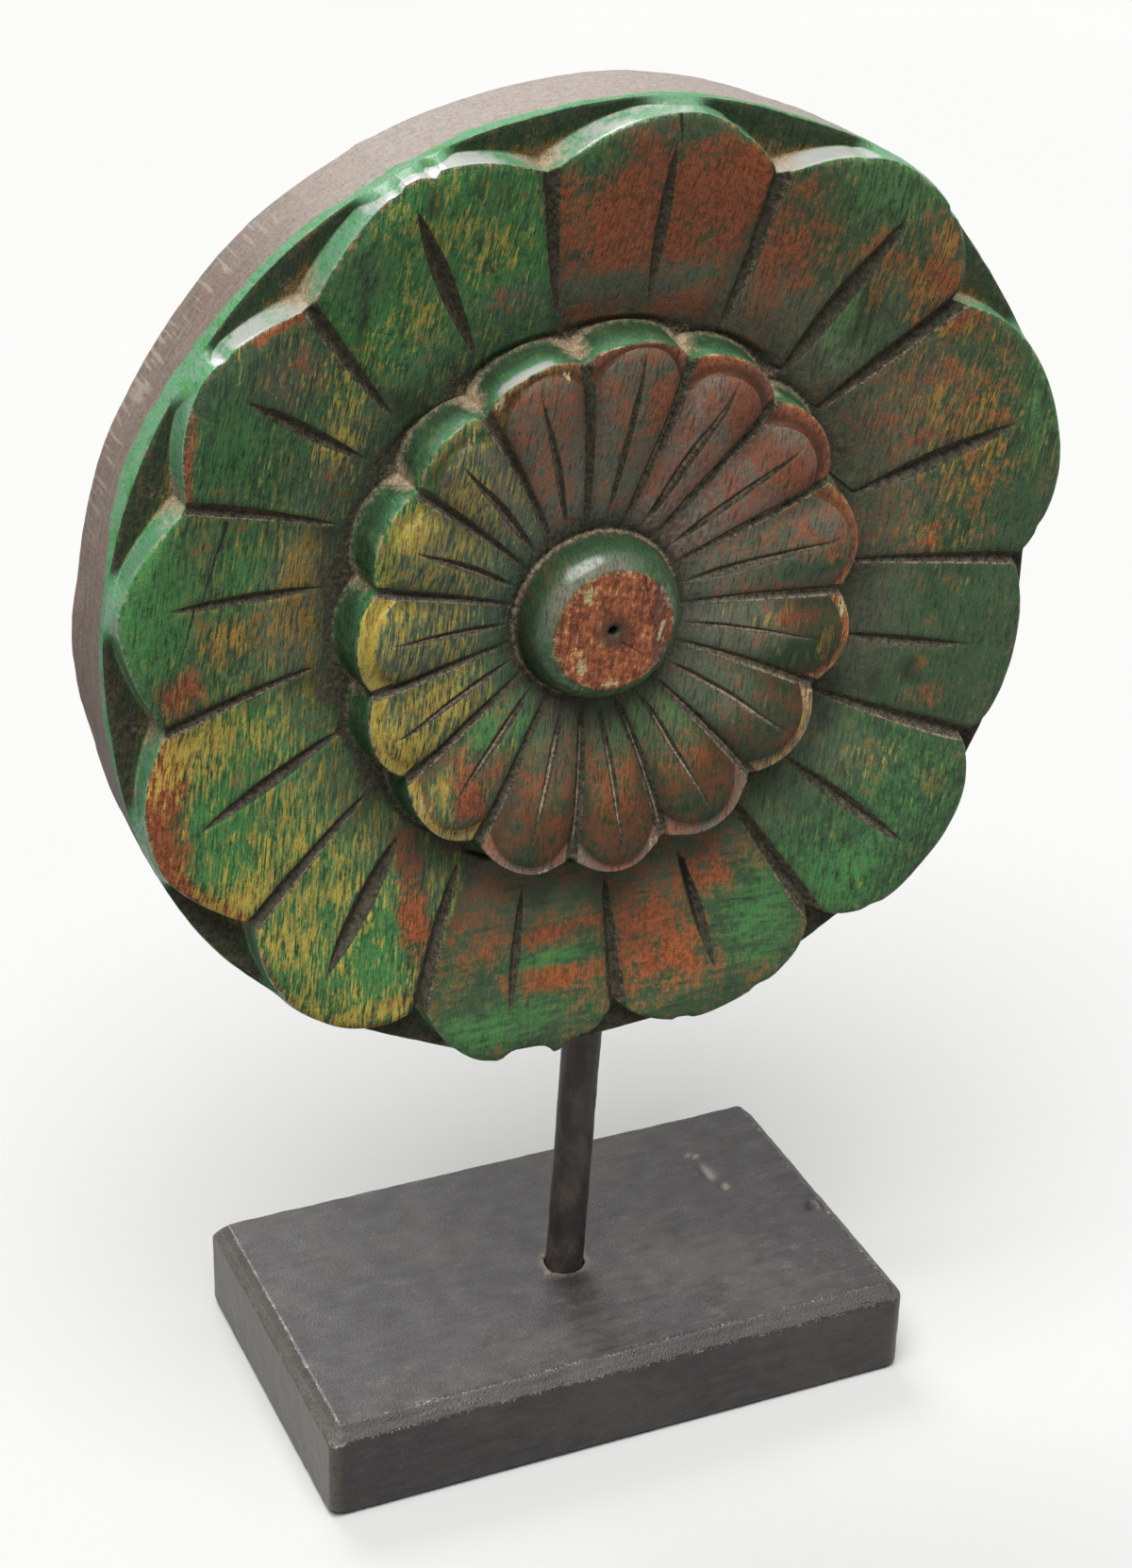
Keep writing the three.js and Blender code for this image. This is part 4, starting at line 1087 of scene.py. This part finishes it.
        crown = self.p.inner_crown * share ** 0.8 * (1 - across ** 2.2)
        round_tip = smooth(s, 0.80, 1.0) ** 2 * (1 - across ** 4)
        step = 0.60 * smooth(back, 0.0, 0.14) + 0.40 * back
        drop = np.clip(0.45 + 0.26 * width, 0, 2.2) * (1 - across ** 7) * step
        z = HUB_Z + INNER_SLOPE * (r - HUB_R) + crown - round_tip - drop
        z = z - valley_depth * (0.25 + 0.75 * share ** 0.6) - cut_depth * (1 - back)
        z = z + self.rough(angle, r, 0.7) * (0.4 + 0.6 * share)

        on_crescent = 1.0 if back > 0 else 0.0
        upper = smooth(looks(angle, 10), 0.1, 0.7)
        groove = np.maximum(smooth(valley, 0.0, 0.25), smooth(cut, 0.0, 0.3)) * smooth(share, 0.0, 0.2)
        groove = np.clip(groove + 0.5 * (1 - smooth(share, 0.0, 0.05)), 0, 1)
        at_edge = smooth(valley, 0.0, 0.12) * (1 - smooth(valley, 0.2, 0.5))
        # Tan along the bottom of the cuts, on the flank that faces the light and the dust: dust, with
        # painted light.
        bottom = ((cut > 0.7) | (valley > 0.9)) * (flank > 0.45) * smooth(share, 0.1, 0.3) * (1 - back)
        dust = 0.34 * at_edge * (0.3 + flank) * smooth(share, 0.1, 0.4)
        dust = dust + (0.50 + 0.22 * (1 - upper)) * bottom
        # Painted shade towards the valleys and round the hub; the upper crescents under their step and the
        # tips of the low petals are darker.
        on_face = 0.75 * smooth(across, 0.45, 0.98) * (0.4 + 0.6 * share) * (1 - on_crescent)
        on_face = on_face + 0.5 * (1 - smooth(share, 0.0, 0.25))
        under_step = on_crescent * (0.75 * upper * (1 - smooth(back, 0.3, 1.0)) + 0.35 * (back == 0.03))
        low_tip = (1 - upper) * (1 - on_crescent) * smooth(s, 0.45, 0.80) * (1 - across ** 3) * is_low(k)
        centre = (BOSS_X * (1 - share) ** 2, BOSS_Y * (1 - share) ** 2)
        self.add(angle, r - (0.3 if back == 1.0 else 0.0), z, centre, cut=groove, dust=dust, flank=flank,
                 glaze=0.9 * self.spread(angle, r, FLAKES), lip=0.40 * smooth(back, 0.8, 1.0),
                 gloss=0.15 + 0.50 * smooth(back, 0.3, 0.8),
                 shade=np.maximum(on_face, under_step) + 0.72 * low_tip,
                 **self.inner_paint(angle, r, on_crescent, share))

    def inner_wall(self):
        """The upright edge of the inner flower, down into the trench."""
        angle, top = self.rings[-1]["angle"], self.rings[-1]["z"]
        edge = self.inner_lip(angle)
        k, side = petal_side(angle, INNER)
        corner = smooth(np.abs(side), 0.62, 1.0)
        # Near the top the edges take more pale chalk and dust, a painted light from above; a painted
        # highlight lies where an edge looks towards the light.
        lit = 0.45 + 0.55 * smooth(looks(angle, 15), -0.2, 0.6)
        highlight_share = INNER_HIGHLIGHT[k] * facing(angle, inner_edge(angle), *INNER_LIT) * (1 - corner)
        # Painted shade deepens down each edge towards its foot.
        for t in (0.05, 0.2, 0.4, 0.6, 0.8, 0.94):
            dust = 0.88 * corner * smooth(t, 0.1, 0.5) + 0.30 * smooth(t, 0.72, 0.94)
            r = edge + INNER_FOOT_OUT * t ** 1.8 + 0.5 * self.rough(angle, 60.0, 0.5)
            self.add(angle, r, top + (INNER_FOOT_Z - top) * t, bright=0.30, red=0.08, veil=0.1, flank=0.55,
                     wall=(0.18 + 0.77 * highlight_share) * lit * (1 - smooth(t, 0.15, 0.55)),
                     glaze=0.95 * highlight_share * (1 - smooth(t, 0.15, 0.5)), lip=0.5 * (1 - smooth(t, 0.0, 0.12)),
                     shade=0.45 * smooth(t, 0.2, 0.7), dust=np.clip(dust * lit, 0, 1),
                     cut=0.30 * smooth(t, 0.6, 0.95),
                     gloss=0.28 * smooth(t, 0.0, 0.2) * (1 - smooth(t, 0.45, 0.7)))
        self.add(angle, edge + INNER_FOOT_OUT + 0.5, INNER_FOOT_Z - 0.1, cut=0.5, flank=0.7,
                 dust=(0.44 + 0.36 * corner) * lit)
        self.add(angle, edge + INNER_FOOT_OUT + 1.3, INNER_FOOT_Z - 0.1, cut=0.6, flank=0.6,
                 dust=0.4 * corner * lit)

    def outer_flower(self):
        """The faces of the outer petals, from the trench to the lips."""
        for share in np.concatenate([[0.0, 0.03], np.linspace(0.07, 0.86, 20), np.linspace(0.89, 1.0, 9)]):
            angle, valley, cut, valley_depth, cut_depth, flank = self.outer_stations(share)
            k, side = petal_side(angle, OUTER[:, 0])
            across = np.abs(side)
            edge = self.outer_lip(angle)
            r = TRENCH_R + (edge - TRENCH_R) * share
            flat = np.clip((r - (edge - LIP_FLAT[k] * (1 - 0.4 * across ** 3))) / LIP_FLAT[k], 0, 1)
            z = bowl(r) + self.p.outer_crown * share * (1 - across ** 2)
            z = z - 0.33 * LIP_FLAT[k] * flat ** 1.1 * (1 - across ** 6)
            z = z - valley_depth - cut_depth
            z = z + self.rough(angle, r) * (0.45 + 0.55 * share)

            between = smooth(np.abs(petal_side(angle, INNER)[1]), 0.4, 1.0)
            trench = 1 - smooth(share, 0.0, 0.04 + 0.10 * between)
            groove = np.maximum(smooth(valley, 0.0, 0.2), smooth(cut, 0.0, 0.17))
            at_edge = smooth(valley, 0.0, 0.12) * (1 - smooth(valley, 0.2, 0.45))
            # Painted shade by the valleys and down into the trench, with the scars torn along the grain in
            # the same mark.
            shade = smooth(across, 0.72, 1.0) * 0.34 * (1 - 0.6 * flat)
            shade = shade + 0.45 * (1 - smooth(share, 0.05, 0.35))
            self.add(angle, r - (0.2 if share == 1.0 else 0.0), z, gloss=0.12,
                     cut=np.maximum(groove, (0.34 + 0.24 * between) * trench),
                     dust=0.34 * at_edge * (0.3 + flank), lip=0.5 * smooth(share, 0.98, 1.0),
                     flank=np.where(groove > trench, 0.85 * flank, 0.75),
                     shade=np.maximum(shade, self.spread(angle, r, SCARS)),
                     **self.outer_paint(angle, r, flat, 1 - smooth(share, 0.1, 0.5)))

    def outer_wall(self):
        """The upright edge of the outer petals and the floor of the notches, out to the rim."""
        angle, top = self.rings[-1]["angle"], self.rings[-1]["z"]
        k, side = petal_side(angle, OUTER[:, 0])
        across = np.abs(side)
        edge = self.outer_lip(angle)
        rim, foot_r = outer_rim(angle), edge + WALL_DRAFT
        # Where a tip comes out to the rim there is no notch, and the edge runs down to it as one slope.
        lift = 0.75 * (top - RIM_Z) * (1 - smooth(rim - edge, 1.3, 2.8))
        foot_z = RIM_Z - FLOOR_SLOPE * (rim - foot_r) + lift
        notch = smooth(rim - edge, 1.5, 3.2)
        apex = smooth(across, 0.70, 1.0)
        # Near the top the edges take more pale chalk and dust, a painted light from above; a painted
        # highlight lies where an edge looks towards the light.
        high = smooth(looks(angle, 0), 0.1, 0.6)
        glaze = OUTER_HIGHLIGHT[k] * facing(angle, outer_edge(angle), *OUTER_LIT)
        # Painted shade on the edges where the highlight is missing, and on the floors of the notches.
        # Down the upright edge, then out over the floor of the notch.
        for t in (0.04, 0.16, 0.36, 0.6, 0.84, 1.0):
            wall_r = edge + WALL_DRAFT * t ** 1.4 + 0.6 * self.rough(angle, 109.0, 0.6) * (1 - t)
            dust = (0.66 + 0.3 * high) * apex * (0.45 + 0.55 * t) + 0.34 * smooth(t, 0.72, 1.0) * notch
            self.add(angle, wall_r, top + (foot_z - top) * t, wall=0.62 + 0.33 * high, glaze=glaze,
                     bright=0.5, red=0.15, veil=0.3 * (1 - high), lip=0.4 * (1 - smooth(t, 0.0, 0.12)),
                     shade=0.25 * (1 - glaze), dust=np.clip(dust, 0, 1), flank=0.6,
                     gloss=0.9 * (1 - 0.5 * t))
        for t in (0.12, 0.4, 0.7, 0.94):
            r = foot_r + (rim - foot_r) * t
            z = RIM_Z - FLOOR_SLOPE * (rim - r) + lift * (1 - t)
            z = z + 0.8 * self.rough(angle, r, 0.8) * smooth(rim - edge, 1.0, 4.0) * (1 - t ** 4)
            foot = 1.0 if t < 0.2 else 0.0
            self.add(angle, r, z, bright=0.12, red=0.16, mauve=foot, veil=0.20 * notch,
                     ochre=0.05 + (0.3 + 0.3 * high) * foot * smooth(across, 0.5, 0.9),
                     cut=(0.54 - 0.13 * high) * notch * (1 - 0.5 * foot), wall=0.92 * (1 - notch),
                     dust=0.42 * smooth(across, 0.86, 1.0) * (1 - t) * notch, shade=0.22 * notch,
                     flank=0.68 + 0.04 * high, gloss=0.4 * (1 - notch))

    def rim_and_back(self):
        """The turned rim, painted in front and bare behind, and the flat back."""
        angle = self.rings[-1]["angle"]
        rim = outer_rim(angle)
        x, y = face_point(angle, RIM_R)
        # The paint reaches further back at the upper left, and the wood swells a little at the left.
        wide = np.exp(-(away(angle, 296.0) / 11.0) ** 2)
        ragged = 1.3 * self.grain.at(x, y, 9.0, 13.0) + 0.7 * self.grain.at(x, y, 29.0, 4.0)
        band = 20.8 - 4.5 * wide + ragged
        bulge = np.exp(-(away(angle, 268.0) / 7.5) ** 4)
        for z, pull in RIM_RINGS:
            r = rim - pull - BACK_SHRINK * (1 - z / RIM_Z) + bulge * 1.1 * (1 - float(smooth(z, 5.0, 9.0)))
            r = r + self.p.roughness * 0.9 * self.grain.at(x, y, z, 7.0)
            r = r + 0.1 * self.grain.at(x, y, z * 3, 2.2)
            self.add(angle, r, z, bare=smooth(band - z, -2.2, 2.2), wall=0.80, bright=0.8, red=0.1,
                     lip=0.30 * (z > RIM_Z - 0.3))
        for r in (100.0, 70.0, 35.0, 0.0):
            self.add(angle, r, 0.0, bare=1.0)


def attribute(mesh, name, columns):
    """Gives the mesh a colour attribute of four numbers for each point."""
    layer = mesh.attributes.new(name, "FLOAT_COLOR", "POINT")
    layer.data.foreach_set("color", np.clip(np.stack(columns, -1), 0, 1).astype(np.float32).ravel())


def points_of(mesh):
    """The places of the mesh's points, one row each."""
    spot = np.zeros(len(mesh.vertices) * 3)
    mesh.vertices.foreach_get("co", spot)
    return spot.reshape(-1, 3)


def new_object(name, bm):
    """Makes the finished mesh an object at the origin."""
    mesh = bpy.data.meshes.new(name)
    bm.to_mesh(mesh)
    bm.free()
    made = bpy.data.objects.new(name, mesh)
    bpy.context.scene.collection.objects.link(made)
    return made


def new_piece(name, bm, material, node):
    """Makes the finished mesh a piece that rides on the body and stands for its node."""
    piece = new_object(name, bm)
    piece.data.materials.append(material)
    piece.data.shade_smooth()
    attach(piece, "root")
    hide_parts(node)
    return piece


def rod_blank(radius, length):
    """A plain upright cylinder round the origin."""
    bm = bmesh.new()
    bmesh.ops.create_cone(bm, cap_ends=True, segments=ROD_SIDES, radius1=radius, radius2=radius,
                          depth=length)
    return bm


def rod_axis(stand, gap):
    """Length and place of the leaning rod, grown by a gap where it stands for its sockets."""
    low, high = ROD_LOW_Z - gap, ROD_TOP_Z + gap
    length = (high - low) / math.cos(stand.rod_lean) * MM
    foot = Vector((ROD_FOOT_X - (BLOCK_TOP_Z - low) * math.tan(stand.rod_lean), ROD_Y, low)) * MM
    lean = Matrix.Rotation(stand.rod_lean, 4, "Y")
    return length, Matrix.Translation(foot) @ lean @ Matrix.Translation((0, 0, length / 2))


def drill(piece, stand):
    """Cuts the rod's socket into a piece."""
    length, place = rod_axis(stand, SOCKET_GAP)
    bm = rod_blank(stand.rod_radius + SOCKET_GAP * MM, length)
    bmesh.ops.transform(bm, matrix=place, verts=bm.verts)
    tool = new_object("drill", bm)
    modifier = piece.modifiers.new("socket", "BOOLEAN")
    modifier.operation = "DIFFERENCE"
    modifier.solver = "MANIFOLD"
    modifier.object = tool
    bpy.context.view_layer.update()
    cut = bpy.data.meshes.new_from_object(piece.evaluated_get(bpy.context.evaluated_depsgraph_get()))
    piece.modifiers.clear()
    whole, name, drill_mesh = piece.data, piece.data.name, tool.data
    piece.data = cut
    bpy.data.meshes.remove(whole)
    cut.name = name
    bpy.data.objects.remove(tool)
    bpy.data.meshes.remove(drill_mesh)


def turned_blank(count):
    """A profile with one point for each ring, turned on the lathe. Depth counts rings and turn sectors."""
    last = count - 1
    bm = bmesh.new()
    profile = [bm.verts.new((0.0 if i in (0, last) else 1.0, -float(i), 0.0)) for i in range(count)]
    edges = [bm.edges.new(pair) for pair in zip(profile, profile[1:])]
    bmesh.ops.spin(bm, geom=profile + edges, cent=(0, 0, 0), axis=(0, 1, 0), dvec=(0, 0, 0),
                   angle=2 * math.pi, steps=SECTORS, use_merge=True)
    bmesh.ops.remove_doubles(bm, verts=bm.verts, dist=1e-5)
    return bm


def carve_blank(mesh, rings):
    """Moves each point of the turned blank to its place in the carving, with its paint and wear."""
    spot = points_of(mesh)
    ring = np.rint(-spot[:, 1]).astype(int)
    turn = np.arctan2(spot[:, 2], spot[:, 0]) / (2 * math.pi)
    sector = np.mod(np.rint(turn * SECTORS).astype(int), SECTORS)
    grid = {key: np.stack([r[key] for r in rings])[ring, sector] for key in rings[0]}
    across, up = face_point(grid["angle"], grid["r"])
    spot[:, 0] = (DISC_X + grid["centre_x"] + across) * MM
    spot[:, 1] = (DISC_BACK_Y - grid["z"]) * MM
    spot[:, 2] = (DISC_Z + grid["centre_z"] + up) * MM
    mesh.vertices.foreach_set("co", spot.ravel())
    for name, keys in MARKS.items():
        attribute(mesh, name, [grid[key] for key in keys])

    bm = bmesh.new()
    bm.from_mesh(mesh)
    bmesh.ops.recalc_face_normals(bm, faces=bm.faces)
    bm.to_mesh(mesh)
    bm.free()


class ROSETTE_OT_carve(bpy.types.Operator):
    """Turn a blank, carve the rosette from it and paint it"""

    bl_idname = "rosette.carve"
    bl_label = "Carve the rosette"

    def execute(self, context):
        scene = context.scene
        carving = Carving(scene.rosette_carving)
        carving.boss()
        carving.inner_flower()
        carving.inner_wall()
        carving.outer_flower()
        carving.outer_wall()
        carving.rim_and_back()
        blank, paint = turned_blank(len(carving.rings)), painted_wood(scene.rosette_finish)
        piece = new_piece("carved_rosette", blank, paint, "rosette")
        carve_blank(piece.data, carving.rings)
        drill(piece, scene.rosette_stand)
        return {"FINISHED"}


class ROSETTE_OT_rod(bpy.types.Operator):
    """Draw the iron rod and set it leaning in its sockets"""

    bl_idname = "rosette.rod"
    bl_label = "Make the rod"

    def execute(self, context):
        scene = context.scene
        radius = scene.rosette_stand.rod_radius
        length, place = rod_axis(scene.rosette_stand, 0.0)
        bm = rod_blank(radius, length)
        along = [e for e in bm.edges if abs(e.verts[0].co.z - e.verts[1].co.z) > length / 2]
        bmesh.ops.subdivide_edges(bm, edges=along, cuts=ROD_CUTS, use_grid_fill=True)
        grain = Grain(scene.rosette_carving.seed + 11)
        for v in bm.verts:
            x, y, z = v.co / MM
            dent = 0.09 * grain.at(x, y, z * 0.5, 2.4) + 0.05 * grain.at(x, y, z, 1.1)
            v.co.xy *= 1 + min(float(dent), 0.08) / (radius / MM)
        bmesh.ops.transform(bm, matrix=place, verts=bm.verts)
        new_piece("iron_rod", bm, dark_iron(scene.rosette_finish), "rod")
        return {"FINISHED"}


def close_to_edges(sides, half):
    """Moves the block's evenly spaced points, -1 to 1 along each side, so that more lie near its edges."""
    near = np.array(BLOCK_NEAR) / half
    bent = np.abs(sides)
    for axis, share in enumerate(BLOCK_OPEN):
        open_part = bent[:, axis] / share * (1 - near[axis])
        near_part = 1 - near[axis] * (1 - (bent[:, axis] - share) / (1 - share)) ** 1.5
        bent[:, axis] = np.where(bent[:, axis] < share, open_part, near_part)
    return (np.sign(sides) * bent * half).T


def round_corners(x, y, half, ragged):
    """Rounds the block's upright edges, and the one at the front on the right the most."""
    corner = np.where((x > 0) & (y < 0), 3.2, 1.6) + 0.5 * ragged
    past_x, past_y = (np.maximum(np.abs(v) - (half[i] - corner), 0) for i, v in enumerate((x, y)))
    on_corner = (past_x > 0) & (past_y > 0)
    shrink = np.minimum(corner / np.maximum(np.hypot(past_x, past_y), 1e-6), 1.0)
    x = np.where(on_corner, np.sign(x) * (half[0] - corner + past_x * shrink), x)
    y = np.where(on_corner, np.sign(y) * (half[1] - corner + past_y * shrink), y)
    return x, y


def bevel(x, y, z, half, width):
    """Bevels the top and bottom edges, square to the side and radially round the corners.

    After the moved points come the depth below the flats and the marks of the worn edge and its crease."""
    from_x, from_y = (np.maximum(BEVEL_REACH - (half[i] - np.abs(v)), 0) for i, v in enumerate((x, y)))
    reach = np.hypot(from_x, from_y)
    side, level = BEVEL_REACH - reach, half[2] - np.abs(z)
    cut = np.maximum(width - side - level, 0) / 2
    edge = 1 - smooth(np.hypot(side, level), 0.85 * width, 1.15 * width)
    crease = np.exp(-((np.maximum(side, 0) + level - width) / 0.45) ** 2) * (z > 0)
    reach = np.maximum(reach, 1e-6)
    x = x - np.sign(x) * cut * from_x / reach
    y = y - np.sign(y) * cut * from_y / reach
    z = z - np.sign(z) * cut
    upright = 0.6 * (1 - smooth(np.maximum(half[0] - np.abs(x), half[1] - np.abs(y)), 1.5, 3.5))
    return x, y, z, level, np.maximum(edge, upright), crease


def worn_block(sides, half, wear, grain):
    """Places of the block's points about its middle, and the marks of its wear."""
    x, y, z = close_to_edges(sides, half)
    ragged = 0.45 * grain.at(x, y, z * 0.6, 5.5) + 0.35 * grain.at(x, y, z, 1.7)
    width = np.where(z > 0, wear * (1.0 + 0.10 * ragged), 1.1 + 0.2 * ragged)
    x, y = round_corners(x, y, half, ragged)
    x, y, z, level, edge, crease = bevel(x, y, z, half, width)
    edge = np.clip(edge * (0.75 + 0.4 * ragged) * np.where(z > 0, 1.0, 0.5), 0, 1)

    rough = 0.10 * grain.at(x * 0.12, y, z, 1.6) + 0.10 * grain.at(x, y, z, 6.0)
    z = np.where((level < ON_FLAT) & (z > 0), z + np.minimum(rough - 0.08, 0), z)
    out = np.minimum(rough - 0.05, 0)
    flat_x, flat_y = half[0] - np.abs(x) < ON_FLAT, half[1] - np.abs(y) < ON_FLAT
    x = np.where(flat_x, x + np.sign(x) * out, x)
    y = np.where(flat_y & ~flat_x, y + np.sign(y) * out, y)

    on_top, hole, gouge = z > 0, 0.0, 0.0
    for px, py, long_side, short_side, turn, depth, is_hole, is_gouge in BLOCK_DENTS:
        c, s = math.cos(math.radians(turn)), math.sin(math.radians(turn))
        along, aside = (x - px) * c + (y - py) * s, (y - py) * c - (x - px) * s
        off = (along / long_side) ** 2 + (aside / short_side) ** 2
        z = z - depth * on_top * np.clip(1 - off, 0, 1)
        mark = np.exp(-off ** 2) * on_top
        hole, gouge = hole + is_hole * mark, gouge + is_gouge * mark
    foot = np.hypot(x - ROD_FOOT_X, y - ROD_Y)
    ring = np.exp(-((foot - DIRT_RING_R) / 0.6) ** 2) * on_top * (0.4 + 0.5 * grain.at(x, y, 4.0, 2.2))
    return np.stack([x, y, z], -1), [edge, np.maximum(ring, 0.6 * gouge), hole, crease]


class ROSETTE_OT_block(bpy.types.Operator):
    """Saw the block, wear its edges, drill it and stain it"""

    bl_idname = "rosette.block"
    bl_label = "Make the block"

    def execute(self, context):
        scene = context.scene
        low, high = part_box("base_block")
        half, middle = np.array((high - low) / MM) / 2, np.array((high + low) / 2 / MM)
        bm = bmesh.new()
        bmesh.ops.create_cube(bm, size=1.0)
        for axis, cuts in enumerate(BLOCK_CUTS):
            along = [e for e in bm.edges if abs(e.verts[0].co[axis] - e.verts[1].co[axis]) > 0.5]
            bmesh.ops.subdivide_edges(bm, edges=along, cuts=cuts, use_grid_fill=True)
        stain = stained_wood(scene.rosette_finish)
        piece = new_piece("stained_block", bm, stain, "base_block")
        grain = Grain(scene.rosette_carving.seed + 23)
        wear = scene.rosette_stand.edge_wear / MM
        spot, marks = worn_block(2 * points_of(piece.data), half, wear, grain)
        piece.data.vertices.foreach_set("co", ((spot + middle) * MM).ravel())
        attribute(piece.data, "wear", marks)
        drill(piece, scene.rosette_stand)
        return {"FINISHED"}


def soft_room(studio):
    """A room round the stage that is brighter behind the rosette."""
    world = bpy.data.worlds.new("room")
    world.use_nodes = True
    g = Graph(world.node_tree)
    depth = g.parts(g.node("ShaderNodeTexCoord", out="Generated"))[1]
    fade = {"Value": depth, "From Min": -0.3, "From Max": 0.6, "To Min": 1.0, "To Max": studio.far_side}
    light = g.node("ShaderNodeMapRange", {"interpolation_type": "SMOOTHSTEP"}, fade)
    room = g.tree.nodes["Background"]
    room.inputs["Strength"].default_value = studio.sky
    g.tree.links.new(light.socket, room.inputs["Color"])
    return world


def photo_camera(focal):
    """Camera that stands where the photograph was taken from."""
    turn, tilt, roll = (math.radians(v) for v in CAMERA_ANGLES)
    back = Vector((math.sin(turn) * math.cos(tilt), -math.cos(turn) * math.cos(tilt), math.sin(tilt)))
    level = Vector((math.cos(turn), math.sin(turn), 0.0))
    rise = back.cross(level)
    right = level * math.cos(roll) + rise * math.sin(roll)
    up = rise * math.cos(roll) - level * math.sin(roll)
    place = (back * CAMERA_AWAY + right * CAMERA_SHIFT[0] + up * CAMERA_SHIFT[1]) * MM
    lens = bpy.data.cameras.new("photo_view")
    lens.sensor_width = 36.0
    lens.lens = focal
    camera = bpy.data.objects.new("photo_view", lens)
    camera.matrix_world = Matrix.Translation(place) @ Matrix((right, up, back)).transposed().to_4x4()
    return camera


class ROSETTE_OT_stage(bpy.types.Operator):
    """Lay the floor, light it softly and set the camera"""

    bl_idname = "rosette.stage"
    bl_label = "Set the stage"

    def execute(self, context):
        scene = context.scene
        studio = scene.rosette_studio
        bm = bmesh.new()
        bmesh.ops.create_grid(bm, x_segments=1, y_segments=1, size=FLOOR_HALF)
        floor = new_object("floor", bm)
        floor.data.materials.append(floor_finish(studio))
        scene.world = soft_room(studio)

        lamps = []
        for (name, source, spread), strength in zip(LAMPS, (studio.overhead, studio.backdrop)):
            lamp = bpy.data.lights.new(name, "SUN")
            lamp.energy = strength
            lamp.angle = math.radians(spread)
            lamps.append(bpy.data.objects.new(name, lamp))
            lamps[-1].rotation_euler = Vector(source).to_track_quat("Z", "Y").to_euler()
            scene.collection.objects.link(lamps[-1])

        camera = photo_camera(studio.focal)
        scene.collection.objects.link(camera)
        scene.camera = camera
        scene.view_settings.view_transform = "Standard"
        return {"FINISHED"}


class ROSETTE_PT_panel(bpy.types.Panel):
    """Lists the pieces and their settings"""

    bl_idname = "ROSETTE_PT_panel"
    bl_label = "Carved rosette"
    bl_space_type = "VIEW_3D"
    bl_region_type = "UI"
    bl_category = "Rosette"

    def draw(self, context):
        for name, group in GROUPS:
            box = self.layout.box()
            for key in group.__annotations__:
                box.prop(getattr(context.scene, name), key)
        for cls in OPERATORS:
            self.layout.operator(cls.bl_idname)


OPERATORS = [ROSETTE_OT_carve, ROSETTE_OT_rod, ROSETTE_OT_block, ROSETTE_OT_stage]
GROUPS = [
    ("rosette_carving", CarvingProps), ("rosette_stand", StandProps), ("rosette_finish", FinishProps),
    ("rosette_studio", StudioProps),
]
CLASSES = [group for _, group in GROUPS] + OPERATORS + [ROSETTE_PT_panel]


def register():
    for cls in CLASSES:
        bpy.utils.register_class(cls)
    for name, group in GROUPS:
        setattr(bpy.types.Scene, name, bpy.props.PointerProperty(type=group))


def unregister():
    for name, _ in GROUPS:
        delattr(bpy.types.Scene, name)
    for cls in reversed(CLASSES):
        bpy.utils.unregister_class(cls)


def main():
    register()
    bpy.ops.rosette.carve()
    bpy.ops.rosette.rod()
    bpy.ops.rosette.block()
    bpy.ops.rosette.stage()


if __name__ == "__main__":
    main()
